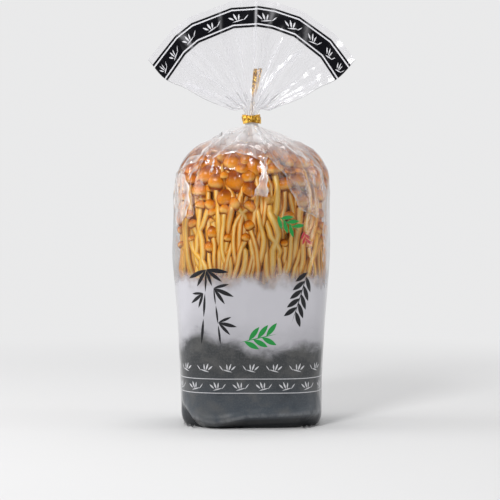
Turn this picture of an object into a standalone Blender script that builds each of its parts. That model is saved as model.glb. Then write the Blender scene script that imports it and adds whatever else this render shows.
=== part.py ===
"""A bunch of nameko mushrooms in a tied film bag.

The mushrooms grow from one matted base, as one piece. The clear bag stands round
them on its flat folded bottom, is gathered into a neck and held by a flat wire tie,
and its mouth spreads above the tie as a fan. Metres, +Z up, front towards -Y, and
the origin is under the middle of the bag's bottom.
"""

import math
import random

import bmesh
import bpy
from mathutils import Vector

MM = 0.001

# Bag body
BODY_HALF_WIDTH_LOW = 46.5 * MM
BODY_HALF_WIDTH_HIGH = 51.8 * MM
BODY_DEPTH_SHARE = 0.86
BOTTOM_ROUNDING = 6.0 * MM
BOTTOM_INSET = 3.5 * MM
WIDEST_HEIGHT = 127.0 * MM
SHOULDER_HEIGHT = 140.0 * MM
ROUNDED_FROM = 165.0 * MM
BOTTOM_SQUARENESS = 3.6
BODY_SQUARENESS = 2.5
FILM_WALL = 0.8 * MM

# Neck and fan
NECK_RADIUS = 4.4 * MM
NECK_LOW = 198.0 * MM
NECK_HIGH = 206.0 * MM
TIE_HEIGHT = 202.0 * MM
FAN_RADIUS = 76.7 * MM
FAN_HALF_ANGLE = math.radians(64.0)
FAN_OPENS_OVER = 14.0 * MM
FAN_HALF_THICKNESS = 2.4 * MM
FAN_WAVES = 5.0
FAN_WAVE_HEIGHT = 3.4 * MM

# Mesh of the bag
AROUND = 52
BODY_RINGS = 5
SHOULDER_RINGS = 9
SHOULDER_PLEAT_DEPTH = 1.7 * MM
NECK_PLEAT_DEPTH = 0.35 * MM
FAN_PLEAT_DEPTH = 0.6 * MM

# Flat wire tie
TIE_CLEARANCE = 0.35 * MM
TIE_THICKNESS = 0.8 * MM
TIE_WIDTH = 4.0 * MM
TIE_TILT = math.radians(9.0)
TAIL_THICKNESS = 0.8 * MM
TAIL_LENGTH = 30.0 * MM
TWIST_TURNS = 1.5
TWIST_SHARE = 0.38

# Mushrooms
MUSHROOM_COUNT = 96
GOLDEN_ANGLE = math.pi * (3.0 - math.sqrt(5.0))
SEED = 11
SIDES = 6
BASE_GAP = 0.35 * MM
BASE_RADIUS = 41.0 * MM
BASE_TOP = 34.0 * MM
CORE_RADIUS = 30.0 * MM
CORE_TOP = 150.0 * MM
CORE_STEPS = 22
STEM_RADIUS = 1.7 * MM
CAP_CLEARANCE = 0.7 * MM
OUTER_FROM = 0.60


def smooth_step(low, high, value):
    """0 below low, 1 above high, and a smooth rise between them."""
    share = min(1.0, max(0.0, (value - low) / (high - low)))
    return share * share * (3.0 - 2.0 * share)


def blend(start, end, share):
    """The value that lies share of the way from start to end."""
    return start + (end - start) * share


def signed_power(value, power):
    """value's size to a power, with value's sign."""
    return math.copysign(abs(value) ** power, value)


def body_half_width(height):
    """Half the bag's outer width at a height, from the floor to the neck."""
    half = blend(
        BODY_HALF_WIDTH_LOW,
        BODY_HALF_WIDTH_HIGH,
        smooth_step(BOTTOM_ROUNDING, WIDEST_HEIGHT, height),
    )
    if height < BOTTOM_ROUNDING:
        fall = 1.0 - height / BOTTOM_ROUNDING
        half -= BOTTOM_INSET * (1.0 - math.sqrt(1.0 - fall * fall))
    if height > SHOULDER_HEIGHT:
        rise = min(1.0, (height - SHOULDER_HEIGHT) / (NECK_LOW - SHOULDER_HEIGHT))
        half = NECK_RADIUS + (half - NECK_RADIUS) * (1.0 - rise**4.5) ** 1.3
    return half


def body_half_depth(height):
    """Half the bag's outer depth at a height. The neck is round."""
    half = body_half_width(height)
    round_share = smooth_step(ROUNDED_FROM, NECK_LOW, height)
    return half * blend(BODY_DEPTH_SHARE, 1.0, round_share)


def squareness(height):
    """The exponent of the superellipse that the bag's section follows."""
    low = blend(BOTTOM_SQUARENESS, BODY_SQUARENESS, smooth_step(0.0, WIDEST_HEIGHT, height))
    return blend(low, 2.0, smooth_step(SHOULDER_HEIGHT, NECK_LOW, height))


def body_point(height, angle):
    """A point on the bag's body. Angle 0 is the middle of the front."""
    power = 2.0 / squareness(height)
    across = body_half_width(height) * signed_power(math.sin(angle), power)
    deep = -body_half_depth(height) * signed_power(math.cos(angle), power)
    return Vector((across, deep, height))


def fan_point(radius, angle):
    """A point on the fan, at a distance above the tie. Its two layers meet at the tips and wave as one."""
    opened = smooth_step(NECK_HIGH - TIE_HEIGHT, FAN_OPENS_OVER, radius)
    turn = angle if angle <= math.pi else angle - 2.0 * math.pi
    folded = turn if abs(turn) <= math.pi / 2 else math.copysign(math.pi, turn) - turn
    spread = 0.5 * math.sin(angle) + 0.5 * folded / (math.pi / 2)
    side = math.cos(angle)
    neck = NECK_RADIUS + 0.25 * (radius - NECK_HIGH + TIE_HEIGHT)
    wave = FAN_WAVE_HEIGHT * math.sin(math.pi * FAN_WAVES * spread) * radius / FAN_RADIUS
    slope = FAN_HALF_ANGLE * spread
    return Vector(
        (
            blend(neck * math.sin(angle), radius * math.sin(slope), opened),
            -blend(neck * side, wave + FAN_HALF_THICKNESS * signed_power(side, 0.3), opened),
            TIE_HEIGHT + blend(radius, radius * math.cos(slope), opened),
        )
    )


def film_rings():
    """The bag's rings from the bottom to the mouth: each a function of the angle and a pleat depth."""
    rings = []
    for level in (0.0, 0.3, 1.0):
        rings.append((lambda angle, z=level * BOTTOM_ROUNDING: body_point(z, angle), 0.0))
    for step in range(1, BODY_RINGS + 1):
        z = blend(BOTTOM_ROUNDING, SHOULDER_HEIGHT, step / BODY_RINGS)
        rings.append((lambda angle, z=z: body_point(z, angle), 0.0))
    for step in range(1, SHOULDER_RINGS + 1):
        share = 1.0 - (1.0 - step / SHOULDER_RINGS) ** 1.5
        z = blend(SHOULDER_HEIGHT, NECK_LOW, share)
        depth = SHOULDER_PLEAT_DEPTH * math.sin(math.pi * share) + NECK_PLEAT_DEPTH * share
        rings.append((lambda angle, z=z: body_point(z, angle), depth))
    lift = Vector((0.0, 0.0, TIE_HEIGHT - NECK_LOW))
    rings.append((lambda angle: body_point(NECK_LOW, angle) + lift, NECK_PLEAT_DEPTH))
    for share in (0.0, 0.03, 0.07, 0.12, 0.2, 0.32, 0.48, 0.72, 1.0):
        radius = blend(NECK_HIGH - TIE_HEIGHT, FAN_RADIUS, share)
        depth = blend(NECK_PLEAT_DEPTH, FAN_PLEAT_DEPTH, smooth_step(0.0, 0.5, share))
        rings.append((lambda angle, r=radius: fan_point(r, angle), depth))
    return rings


def surface_normals(rows):
    """Outward directions on a grid of points that closes round itself along each row."""
    normals = []
    last = len(rows) - 1
    for r, row in enumerate(rows):
        below, above = rows[max(r - 1, 0)], rows[min(r + 1, last)]
        line = []
        for k in range(AROUND):
            round_way = row[(k + 1) % AROUND] - row[k - 1]
            line.append(round_way.cross(above[k] - below[k]).normalized())
        normals.append(line)
    return normals


def close_rows(mesh, rows):
    """Joins rows of bmesh vertices into quads, each row to the next."""
    for low, high in zip(rows, rows[1:]):
        for k in range(AROUND):
            after = (k + 1) % AROUND
            mesh.faces.new((low[k], low[after], high[after], high[k]))


def make_film_bag():
    """The bag: an outer pleated skin and a plain inner one, joined at the mouth."""
    rings = film_rings()
    angles = [2.0 * math.pi * k / AROUND for k in range(AROUND)]
    plain = [[shape(angle) for angle in angles] for shape, _ in rings]
    normals = surface_normals(plain)
    mesh = bmesh.new()
    outer, inner = [], []
    for r, (_, depth) in enumerate(rings):
        outer_row, inner_row = [], []
        for k in range(AROUND):
            pleat = depth * (k % 2)
            outward = normals[r][k]
            if r == 0:
                outward = Vector((outward.x, outward.y, 0.0)).normalized()
            outer_row.append(mesh.verts.new(plain[r][k] + outward * pleat))
            point = plain[r][k] - outward * FILM_WALL
            point.z = max(point.z, FILM_WALL)
            if r > 0:
                inner_row.append(mesh.verts.new(point))
        outer.append(outer_row)
        if inner_row:
            inner.append(inner_row)
    close_rows(mesh, outer)
    close_rows(mesh, [outer[-1], inner[-1]])
    close_rows(mesh, inner[::-1])
    for row, height in ((outer[0], 0.0), (inner[0], FILM_WALL)):
        middle = mesh.verts.new((0.0, 0.0, height))
        for vertex in row:
            vertex.co.z = height
        for k in range(AROUND):
            ends = (row[(k + 1) % AROUND], row[k])
            mesh.faces.new((middle, *(ends if height == 0.0 else ends[::-1])))
    data = bpy.data.meshes.new("film_bag")
    mesh.to_mesh(data)
    mesh.free()
    return bpy.data.objects.new("film_bag", data)


def ribbon(name, points, sides, width, thickness):
    """A closed flat strip along points. sides holds the direction of its width at each."""
    mesh = bmesh.new()
    rows = []
    for i, point in enumerate(points):
        ahead = points[min(i + 1, len(points) - 1)] - points[max(i - 1, 0)]
        flat = sides[i].normalized() * width / 2
        thick = sides[i].cross(ahead).normalized() * thickness / 2
        corners = (-flat - thick, flat - thick, flat + thick, -flat + thick)
        rows.append([mesh.verts.new(point + corner) for corner in corners])
    for low, high in zip(rows, rows[1:]):
        for k in range(4):
            mesh.faces.new((low[k], low[(k + 1) % 4], high[(k + 1) % 4], high[k]))
    mesh.faces.new(rows[0][::-1])
    mesh.faces.new(rows[-1])
    bmesh.ops.recalc_face_normals(mesh, faces=mesh.faces)
    data = bpy.data.meshes.new(name)
    mesh.to_mesh(data)
    mesh.free()
    return bpy.data.objects.new(name, data)


def make_tie_band(name, inner_radius, tilt):
    """One turn of the tie round the neck, as a tilted flat ring."""
    steps = 24
    mesh = bmesh.new()
    rows = []
    for k in range(steps):
        angle = 2.0 * math.pi * k / steps
        out = Vector((math.sin(angle), -math.cos(angle), 0.0))
        lift = math.tan(tilt) * out.x * inner_radius
        row = []
        for radius, rise in ((0, -1), (1, -1), (1, 1), (0, 1)):
            point = out * (inner_radius + radius * TIE_THICKNESS)
            point.z = TIE_HEIGHT + lift + rise * TIE_WIDTH / 2
            row.append(mesh.verts.new(point))
        rows.append(row)
    for k in range(steps):
        low, high = rows[k], rows[(k + 1) % steps]
        for j in range(4):
            mesh.faces.new((low[j], high[j], high[(j + 1) % 4], low[(j + 1) % 4]))
    bmesh.ops.recalc_face_normals(mesh, faces=mesh.faces)
    data = bpy.data.meshes.new(name)
    mesh.to_mesh(data)
    mesh.free()
    return bpy.data.objects.new(name, data)


def make_tail(name, turn, lean):
    """One end of the tie, behind the neck: twisted with the other, then free and flat."""
    start = Vector((0.0, NECK_RADIUS + TIE_CLEARANCE + 1.6 * TIE_THICKNESS, TIE_HEIGHT))
    rise = Vector((0.10, 0.44, 0.89)).normalized()
    points, sides = [], []
    steps = 22
    for i in range(steps + 1):
        share = i / steps
        wound = min(share / TWIST_SHARE, 1.0)
        angle = turn + 2.0 * math.pi * TWIST_TURNS * wound
        out = Vector((math.cos(angle), 0.0, 0.0)) + rise.cross(Vector((1, 0, 0))) * math.sin(angle)
        free = max(share - TWIST_SHARE, 0.0) / (1.0 - TWIST_SHARE)
        spread = Vector((lean * free * 0.12 * TAIL_LENGTH, 0.0, 0.0))
        radius = 0.55 * TAIL_THICKNESS
        points.append(start + rise * TAIL_LENGTH * share + out * radius + spread)
        sides.append(out.cross(rise).normalized())
    return ribbon(name, points, sides, 2.6 * MM, TAIL_THICKNESS)


def make_wire_tie():
    """The flat wire tie: two crossing turns round the neck, and its twisted ends."""
    radius = NECK_RADIUS + NECK_PLEAT_DEPTH + TIE_CLEARANCE
    first = make_tie_band("wire_tie", radius, TIE_TILT)
    others = [
        make_tie_band("tie_turn", radius + 0.4 * TIE_THICKNESS, -TIE_TILT),
        make_tail("tie_end_right", 0.0, 1.0),
        make_tail("tie_end_left", math.pi, -1.0),
    ]
    return united("wire_tie", first, others, "MANIFOLD")


def inside_bag(point, gap):
    """True if the point is at least gap inside the bag's inner skin."""
    height = point.z + gap * smooth_step(SHOULDER_HEIGHT, NECK_LOW, point.z)
    if point.z < FILM_WALL + gap or height > NECK_LOW - gap:
        return False
    across = body_half_width(height) - FILM_WALL - gap
    deep = body_half_depth(height) - FILM_WALL - gap
    if min(across, deep) <= 0.0:
        return False
    power = squareness(height)
    return (abs(point.x) / across) ** power + (abs(point.y) / deep) ** power < 1.0


def mushroom_rows(root, knee, tip, lean, cap_radius, cap_height):
    """Rows of points for one mushroom, from its root to its cap's rim and crown, and the crown."""
    rows = []
    for share in (0.0, 0.36, 0.7, 1.0):
        centre = root.lerp(knee, share).lerp(knee.lerp(tip, share), share)
        ahead = (knee - root).lerp(tip - knee, share).normalized()
        radius = STEM_RADIUS * blend(1.15, 0.85, share)
        rows.append(ring_of(centre, ahead, radius))
    for radius, lift in ((0.93, -0.04), (0.98, 0.36), (0.62, 0.85)):
        centre = tip + lean * cap_height * lift
        rows.append(ring_of(centre, lean, cap_radius * radius))
    return rows, tip + lean * cap_height


def ring_of(centre, axis, radius):
    """Points of a ring with a few sides round an axis."""
    side = axis.cross(Vector((0.31, 1.0, 0.17))).normalized()
    other = axis.cross(side)
    ring = []
    for k in range(SIDES):
        angle = 2.0 * math.pi * k / SIDES
        ring.append(centre + side * radius * math.cos(angle) + other * radius * math.sin(angle))
    return ring


def mushroom_object(name, rows, crown):
    """A closed mesh from a mushroom's rows."""
    mesh = bmesh.new()
    made = [[mesh.verts.new(point) for point in row] for row in rows]
    for low, high in zip(made, made[1:]):
        for k in range(SIDES):
            mesh.faces.new((low[k], low[(k + 1) % SIDES], high[(k + 1) % SIDES], high[k]))
    mesh.faces.new(made[0][::-1])
    top = mesh.verts.new(crown)
    for k in range(SIDES):
        mesh.faces.new((made[-1][k], made[-1][(k + 1) % SIDES], top))
    bmesh.ops.recalc_face_normals(mesh, faces=mesh.faces)
    data = bpy.data.meshes.new(name)
    mesh.to_mesh(data)
    mesh.free()
    return bpy.data.objects.new(name, data)


def grow_mushroom(index, draw):
    """One mushroom of the bunch. The outer ones lean out to the film, the inner ones stand on the core."""
    share = (index + 0.5) / MUSHROOM_COUNT
    out = math.sqrt(share)
    angle = index * GOLDEN_ANGLE
    way = Vector((math.sin(angle), -BODY_DEPTH_SHARE * math.cos(angle), 0.0))
    outer = out > OUTER_FROM
    cap_radius = draw.uniform(4.0, 6.0) * MM if outer else draw.uniform(5.0, 6.8) * MM
    cap_height = cap_radius * draw.uniform(0.85, 1.1)
    if outer:
        tip_height = draw.uniform(112.0, 178.0) * MM
        root = way * BASE_RADIUS * 0.80 + Vector((0, 0, draw.uniform(20.0, 28.0) * MM))
        reach = BODY_HALF_WIDTH_HIGH * draw.uniform(0.82, 0.94)
    else:
        tip_height = (180.0 - 16.0 * out * out + draw.uniform(-5.0, 3.0)) * MM
        root = way * CORE_RADIUS * out / OUTER_FROM * 0.72 + Vector((0, 0, 125.0 * MM))
        reach = 0.66 * BODY_HALF_WIDTH_HIGH * out / OUTER_FROM
    sway = Vector((draw.uniform(-1, 1), draw.uniform(-1, 1), 0.0))
    lean = (Vector((0, 0, 1)) + way * draw.uniform(0.1, 0.55) + sway * 0.16).normalized()
    for _ in range(60):
        tip = way * reach + sway * 2.0 * MM
        tip.z = tip_height
        knee = root.lerp(tip, 0.55) + way * (6.0 * MM if outer else 0.0) + sway * 4.0 * MM
        rows, crown = mushroom_rows(root, knee, tip, lean, cap_radius, cap_height)
        points = [crown] + [point for row in rows for point in row]
        if all(inside_bag(point, CAP_CLEARANCE) for point in points):
            break
        reach -= 1.0 * MM
        tip_height -= 0.25 * MM
    return mushroom_object(f"mushroom_{index}", rows, crown)


def make_bunch_core():
    """The matted base that all stems grow from, and the packed stems in the middle, as one turned body."""
    bottom = FILM_WALL + BASE_GAP
    outline = (
        (0.0, CORE_TOP),
        (14.0 * MM, CORE_TOP - 4.0 * MM),
        (0.82 * CORE_RADIUS, CORE_TOP - 18.0 * MM),
        (0.93 * CORE_RADIUS, 0.55 * CORE_TOP),
        (0.90 * CORE_RADIUS, BASE_TOP + 12.0 * MM),
        (0.93 * BASE_RADIUS, BASE_TOP),
        (BASE_RADIUS, 0.6 * BASE_TOP),
        (0.97 * BASE_RADIUS, bottom + 3.0 * MM),
        (0.90 * BASE_RADIUS, bottom),
        (0.0, bottom),
    )
    data = bpy.data.meshes.new("core_outline")
    edges = [(i, i + 1) for i in range(len(outline) - 1)]
    data.from_pydata([(x, 0.0, z) for x, z in outline], edges, [])
    core = bpy.data.objects.new("core", data)
    bpy.context.scene.collection.objects.link(core)
    screw = core.modifiers.new("turn", "SCREW")
    screw.steps = CORE_STEPS
    screw.render_steps = CORE_STEPS
    screw.use_merge_vertices = True
    screw.merge_threshold = 0.00001
    solid = as_mesh(core, "mushroom_bunch")
    for vertex in solid.data.vertices:
        vertex.co.y *= BODY_DEPTH_SHARE
    return solid


def as_mesh(source, name):
    """A plain mesh object of what source evaluates to. source is removed."""
    bpy.context.view_layer.update()
    graph = bpy.context.evaluated_depsgraph_get()
    data = bpy.data.meshes.new_from_object(source.evaluated_get(graph))
    mesh = bmesh.new()
    mesh.from_mesh(data)
    bmesh.ops.remove_doubles(mesh, verts=mesh.verts, dist=0.000001)
    bmesh.ops.recalc_face_normals(mesh, faces=mesh.faces)
    mesh.to_mesh(data)
    mesh.free()
    bpy.data.objects.remove(source)
    data.name = name
    return bpy.data.objects.new(name, data)


def united(name, first, others, solver):
    """first and others joined into one solid by a Boolean union on a collection."""
    scene = bpy.context.scene.collection
    if first.name not in scene.objects:
        scene.objects.link(first)
    joined = bpy.data.collections.new(name + "_pieces")
    scene.children.link(joined)
    for piece in others:
        joined.objects.link(piece)
    union = first.modifiers.new("union", "BOOLEAN")
    union.operation = "UNION"
    union.operand_type = "COLLECTION"
    union.collection = joined
    union.solver = solver
    solid = as_mesh(first, name)
    for piece in list(joined.objects):
        bpy.data.objects.remove(piece)
    bpy.data.collections.remove(joined)
    return solid


def make_mushroom_bunch():
    """The whole bunch, grown as one piece: base, core, and mushrooms set by the golden angle."""
    draw = random.Random(SEED)
    mushrooms = [grow_mushroom(index, draw) for index in range(MUSHROOM_COUNT)]
    return united("mushroom_bunch", make_bunch_core(), mushrooms, "MANIFOLD")


def finish(name, colour, roughness, metallic, alpha=1.0):
    """A Principled material of one colour."""
    material = bpy.data.materials.new(name)
    material.use_nodes = True
    shader = material.node_tree.nodes["Principled BSDF"]
    shader.inputs["Base Color"].default_value = (*colour, 1.0)
    shader.inputs["Roughness"].default_value = roughness
    shader.inputs["Metallic"].default_value = metallic
    shader.inputs["Alpha"].default_value = alpha
    return material


def main():
    """Clears the scene, then makes the three pieces in their own collection."""
    for old in list(bpy.data.objects):
        bpy.data.objects.remove(old)
    parts = bpy.data.collections.new("nameko_bunch_in_bag")
    bpy.context.scene.collection.children.link(parts)
    pieces = (
        (make_film_bag(), finish("clear_film", (0.86, 0.87, 0.90), 0.15, 0.0, 0.35)),
        (make_wire_tie(), finish("gold_foil", (0.83, 0.55, 0.12), 0.28, 0.9)),
        (make_mushroom_bunch(), finish("mushroom", (0.78, 0.47, 0.16), 0.45, 0.0)),
    )
    for piece, material in pieces:
        piece.data.materials.clear()
        piece.data.materials.append(material)
        parts.objects.link(piece)


main()
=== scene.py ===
"""A bunch of nameko mushrooms in its tied film bag, dressed for the studio.

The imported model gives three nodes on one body: the clear bag, the wire tie and the bunch of
mushrooms. Finer pieces replace each of them in its own place. Metres, +Z up, front towards -Y.
"""

import logging
import math
import random
from collections.abc import Callable, Iterable, Sequence
from dataclasses import dataclass, field
from enum import Enum
from functools import reduce

import bmesh
import bpy
import numpy as np
from mathutils import Matrix, Vector, kdtree, noise


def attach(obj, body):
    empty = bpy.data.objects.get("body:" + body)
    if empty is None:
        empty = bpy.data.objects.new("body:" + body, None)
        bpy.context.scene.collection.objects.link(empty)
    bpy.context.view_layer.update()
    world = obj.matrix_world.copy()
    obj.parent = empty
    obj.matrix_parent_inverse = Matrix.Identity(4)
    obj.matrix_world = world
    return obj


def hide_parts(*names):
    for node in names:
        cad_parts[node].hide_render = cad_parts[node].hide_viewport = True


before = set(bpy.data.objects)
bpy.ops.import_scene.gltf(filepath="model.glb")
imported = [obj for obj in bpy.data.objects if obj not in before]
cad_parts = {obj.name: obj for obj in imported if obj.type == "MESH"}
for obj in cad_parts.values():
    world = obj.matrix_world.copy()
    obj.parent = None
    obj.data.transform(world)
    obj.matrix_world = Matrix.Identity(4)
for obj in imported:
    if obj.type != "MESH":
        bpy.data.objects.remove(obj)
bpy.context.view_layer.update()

LOG = logging.getLogger("nameko_bunch")
MM = 0.001
TURN = 2.0 * math.pi
ROOT = "root"

Array = np.ndarray
Number = float | np.ndarray
Pair = tuple[float, float]
Line = tuple[Pair, ...]
Colour = tuple[float, float, float]
Model = tuple[np.ndarray, list]
Socket = bpy.types.NodeSocket
Material = bpy.types.Material
Piece = bpy.types.Object


def blend(start: Number, end: Number, share: Number) -> Number:
    """The value that lies a share of the way from start to end."""
    return start + (end - start) * share


def smooth_step(low: float, high: float, value: Number) -> Number:
    """A smooth rise from 0 at low to 1 at high, which may lie either way round."""
    share = np.clip((value - low) / (high - low), 0.0, 1.0)
    return share * share * (3.0 - 2.0 * share)


def bell(distance: Number, width: Number) -> Number:
    """1 at no distance, falling smoothly to nothing over a few widths."""
    return np.exp(-((distance / width) ** 2))


def signed_power(value: Array, power: Number) -> Array:
    """Raises the size of each value to a power and keeps its sign."""
    return np.sign(value) * np.abs(value) ** power


def walked(line: Array) -> Array:
    """How far along a line, or along each of several, its points lie."""
    steps = np.diff(line, axis=-2, prepend=line[..., :1, :])
    return np.cumsum(np.linalg.norm(steps, axis=-1), axis=-1)


def route_through(knots: Sequence[float], points: Iterable, share: Array) -> Array:
    """Places at shares of a route that runs straight from point to point, each at its knot."""
    return np.stack([np.interp(share, knots, axis) for axis in zip(*points)], axis=-1)


def sampled(function: Callable, places: Array) -> Array:
    """What a function of one spot gives at each place of a grid, on one more axis."""
    found = [function(Vector(place)) for place in places.reshape(-1, 3)]
    return np.array(found).reshape(*places.shape[:-1], -1)


@dataclass(frozen=True)
class BagForm:
    """The plain form of the bag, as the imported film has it."""

    half_width_low: float = 46.5 * MM
    half_width_high: float = 51.8 * MM
    depth_share: float = 0.86
    rounding: float = 9.0 * MM
    inset: float = 4.5 * MM
    widest: float = 127.0 * MM
    shoulder: float = 140.0 * MM
    rounded_from: float = 165.0 * MM
    neck_low: float = 198.0 * MM
    tie_height: float = 202.0 * MM
    neck_radius: float = 4.4 * MM
    bottom_squareness: float = 3.6
    body_squareness: float = 2.5
    flat_width: float = 165.0 * MM

    def half_width(self, height: Number) -> Number:
        """Half the bag's width at each height."""
        half = blend(self.half_width_low, self.half_width_high, smooth_step(6.0 * MM, self.widest, height))
        fall = np.clip(1.0 - height / self.rounding, 0.0, 1.0)
        half = half - self.inset * (1.0 - np.sqrt(1.0 - fall * fall))
        rise = np.clip((height - self.shoulder) / (self.neck_low - self.shoulder), 0.0, 1.0)
        return blend(self.neck_radius, half, (1.0 - rise**4.5) ** 1.3)

    def half_depth(self, height: Number) -> Number:
        """Half the bag's depth at each height. The neck is round."""
        share = smooth_step(self.rounded_from, self.neck_low, height)
        return self.half_width(height) * blend(self.depth_share, 1.0, share)

    def squareness(self, height: Number) -> Number:
        """The exponent of the superellipse that the section follows at each height."""
        share = smooth_step(0.0, self.widest, height)
        low = blend(self.bottom_squareness, self.body_squareness, share)
        return blend(low, 2.0, smooth_step(self.shoulder, self.neck_low, height))

    def points(self, height: Array, angle: Array) -> Array:
        """Places points on the body.

        Args:
            height: Heights above the floor.
            angle: Angles round the bag, 0 at the middle of the front.

        Returns:
            An array of points, one for each height and angle.
        """
        power = 2.0 / self.squareness(height)
        across = self.half_width(height) * signed_power(np.sin(angle), power)
        deep = -self.half_depth(height) * signed_power(np.cos(angle), power)
        return np.stack([across, deep, height + 0.0 * angle], axis=-1)

    def even_angles(self, columns: int) -> Array:
        """Angles from the back round to the back again that part the wall into equal lengths."""
        fine = np.linspace(-math.pi, math.pi, 4001)
        along = walked(self.points(np.full_like(fine, 90.0 * MM), fine))
        return np.interp(np.arange(columns) / columns * along[-1], along, fine)

    def crowding(self, place: Array, gap: Number) -> Array:
        """How far out places lie.

        Args:
            place: The places.
            gap: How far inside the film they have to stay.

        Returns:
            Less than 1 for a place that is clear of the film, 1 at the gap, more beyond it.
        """
        height = place[..., 2] + gap * smooth_step(self.shoulder, self.neck_low, place[..., 2])
        across = np.maximum(self.half_width(height) - gap, 1.0 * MM)
        deep = np.maximum(self.half_depth(height) - gap, 1.0 * MM)
        power = self.squareness(height)
        total = (np.abs(place[..., 0]) / across) ** power + (np.abs(place[..., 1]) / deep) ** power
        return total ** (1.0 / power)

    def normals(self, height: Array, angle: Array) -> Array:
        """Outward directions at places on the body.

        Args:
            height: The places' heights.
            angle: Their angles round the bag.

        Returns:
            Unit vectors, level where they would lean down.
        """
        turn, lift = 0.004, 0.4 * MM
        round_way = self.points(height, angle + turn) - self.points(height, angle - turn)
        up_way = self.points(height + lift, angle) - self.points(np.maximum(height - lift, 0.0), angle)
        normal = np.cross(round_way, up_way)
        normal[..., 2] = np.maximum(normal[..., 2], 0.0)
        return normal / np.maximum(np.linalg.norm(normal, axis=-1, keepdims=True), 1e-12)

    def front_angle(self, across: Array, height: Array) -> Array:
        """The angle round the bag of places on its front half."""
        share = np.clip(np.abs(across) / self.half_width(height), 0.0, 0.999)
        return np.sign(across) * np.arcsin(share ** (self.squareness(height) / 2.0))

    def front_depth(self, across: float, height: float, gap: float) -> float:
        """The y of the place a gap behind the film's front, straight behind a spot on it."""
        power = float(self.squareness(height))
        share = min(abs(across) / (float(self.half_width(height)) - gap), 0.98)
        return -(float(self.half_depth(height)) - gap) * (1.0 - share**power) ** (1.0 / power)


FORM = BagForm()


class Graph:
    """The node tree of one material, with short ways to add to it."""

    def __init__(self, name: str) -> None:
        """Starts an empty tree for a material of this name."""
        self.material = bpy.data.materials.new(name)
        self.material.use_nodes = True
        self.tree = self.material.node_tree
        self.tree.nodes.clear()

    def node(self, kind: str, inputs: dict | None = None, **settings: object) -> bpy.types.Node:
        """Adds a node.

        Args:
            kind: The node's type, less its first word.
            inputs: Sockets or values for its inputs, by name or number.
            settings: Its properties.

        Returns:
            The node.
        """
        made = self.tree.nodes.new("ShaderNode" + kind)
        for key, value in settings.items():
            setattr(made, key, value)
        for key, value in (inputs or {}).items():
            socket = made.inputs[key]
            if isinstance(value, Socket):
                self.tree.links.new(value, socket)
            else:
                socket.default_value = (*value, 1.0) if socket.type == "RGBA" else value
        return made

    def socket(
        self, kind: str, inputs: dict | None = None, output: int | str = 0, **settings: object
    ) -> Socket:
        """Adds a node as the method above does, and gives one of its outputs."""
        return self.node(kind, inputs, **settings).outputs[output]

    def math(self, operation: str, *values: object, clamp: bool = False) -> Socket:
        """The result of one operation on sockets or numbers, kept from 0 to 1 if clamped."""
        return self.socket("Math", dict(enumerate(values)), operation=operation, use_clamp=clamp)

    def less(self, value: object, taken: object) -> Socket:
        """A value with another taken from it."""
        return self.math("SUBTRACT", value, taken)

    def scaled(self, value: object, by: object, base: object) -> Socket:
        """A value times another, added to a base."""
        return self.math("MULTIPLY_ADD", value, by, base)

    def times(self, *values: object) -> Socket:
        """The product of several values."""
        return reduce(lambda one, other: self.math("MULTIPLY", one, other), values)

    def most(self, values: Iterable[Socket]) -> Socket:
        """The greatest of several values."""
        return reduce(lambda one, other: self.math("MAXIMUM", one, other), values)

    def rise(self, value: object, low: float, high: float, top: float = 1.0) -> Socket:
        """A smooth rise from 0 at low to top at high, which may lie either way round."""
        ends = {"From Min": low, "From Max": high, "To Min": 0.0, "To Max": top}
        if low > high:
            ends = {"From Min": high, "From Max": low, "To Min": top, "To Max": 0.0}
        return self.socket("MapRange", {"Value": value, **ends}, interpolation_type="SMOOTHSTEP")

    def noise(
        self, place: Socket, scale: float | tuple, detail: float = 3.0, rough: float = 0.5, bend: float = 0.0
    ) -> Socket:
        """A noise pattern.

        Args:
            place: The coordinates that it is read at.
            scale: How fine it is, alike along all axes or for each, the last of them left out if 1.
            detail: How many finer patterns it holds.
            rough: How strong those are.
            bend: How far it is distorted.

        Returns:
            The pattern's socket.
        """
        if isinstance(scale, tuple):
            place = self.socket("Mapping", {"Vector": place, "Scale": (*scale, 1.0)[:3]})
            scale = 1.0
        numbers = {"Scale": scale, "Detail": detail, "Roughness": rough, "Distortion": bend}
        return self.socket("TexNoise", {"Vector": place, **numbers}, "Fac")

    def mixed(self, share: object, first: object, second: object) -> Socket:
        """A colour between two others."""
        return self.socket("Mix", {"Factor": share, "A": first, "B": second}, "Result", data_type="RGBA")

    def layered(self, base: object, *layers: tuple[object, object]) -> Socket:
        """A colour with others over it, each with its share."""
        return reduce(lambda under, layer: self.mixed(layer[0], under, layer[1]), layers, base)

    def split(self, vector: Socket) -> list[Socket]:
        """The X, Y and Z of a vector."""
        return list(self.node("SeparateXYZ", {0: vector}).outputs)

    def blended(self, share: object, first: Socket, second: Socket) -> Socket:
        """A shader between two others."""
        return self.socket("MixShader", {0: share, 1: first, 2: second})

    def bump(self, height: Socket, strength: float, distance: float) -> Socket:
        """A normal from a height pattern."""
        return self.socket("Bump", {"Height": height, "Strength": strength, "Distance": distance}, "Normal")

    def surface(self, shader: Socket) -> Material:
        """Ends the tree on a shader and gives the material."""
        self.node("OutputMaterial", {"Surface": shader})
        return self.material


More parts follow.
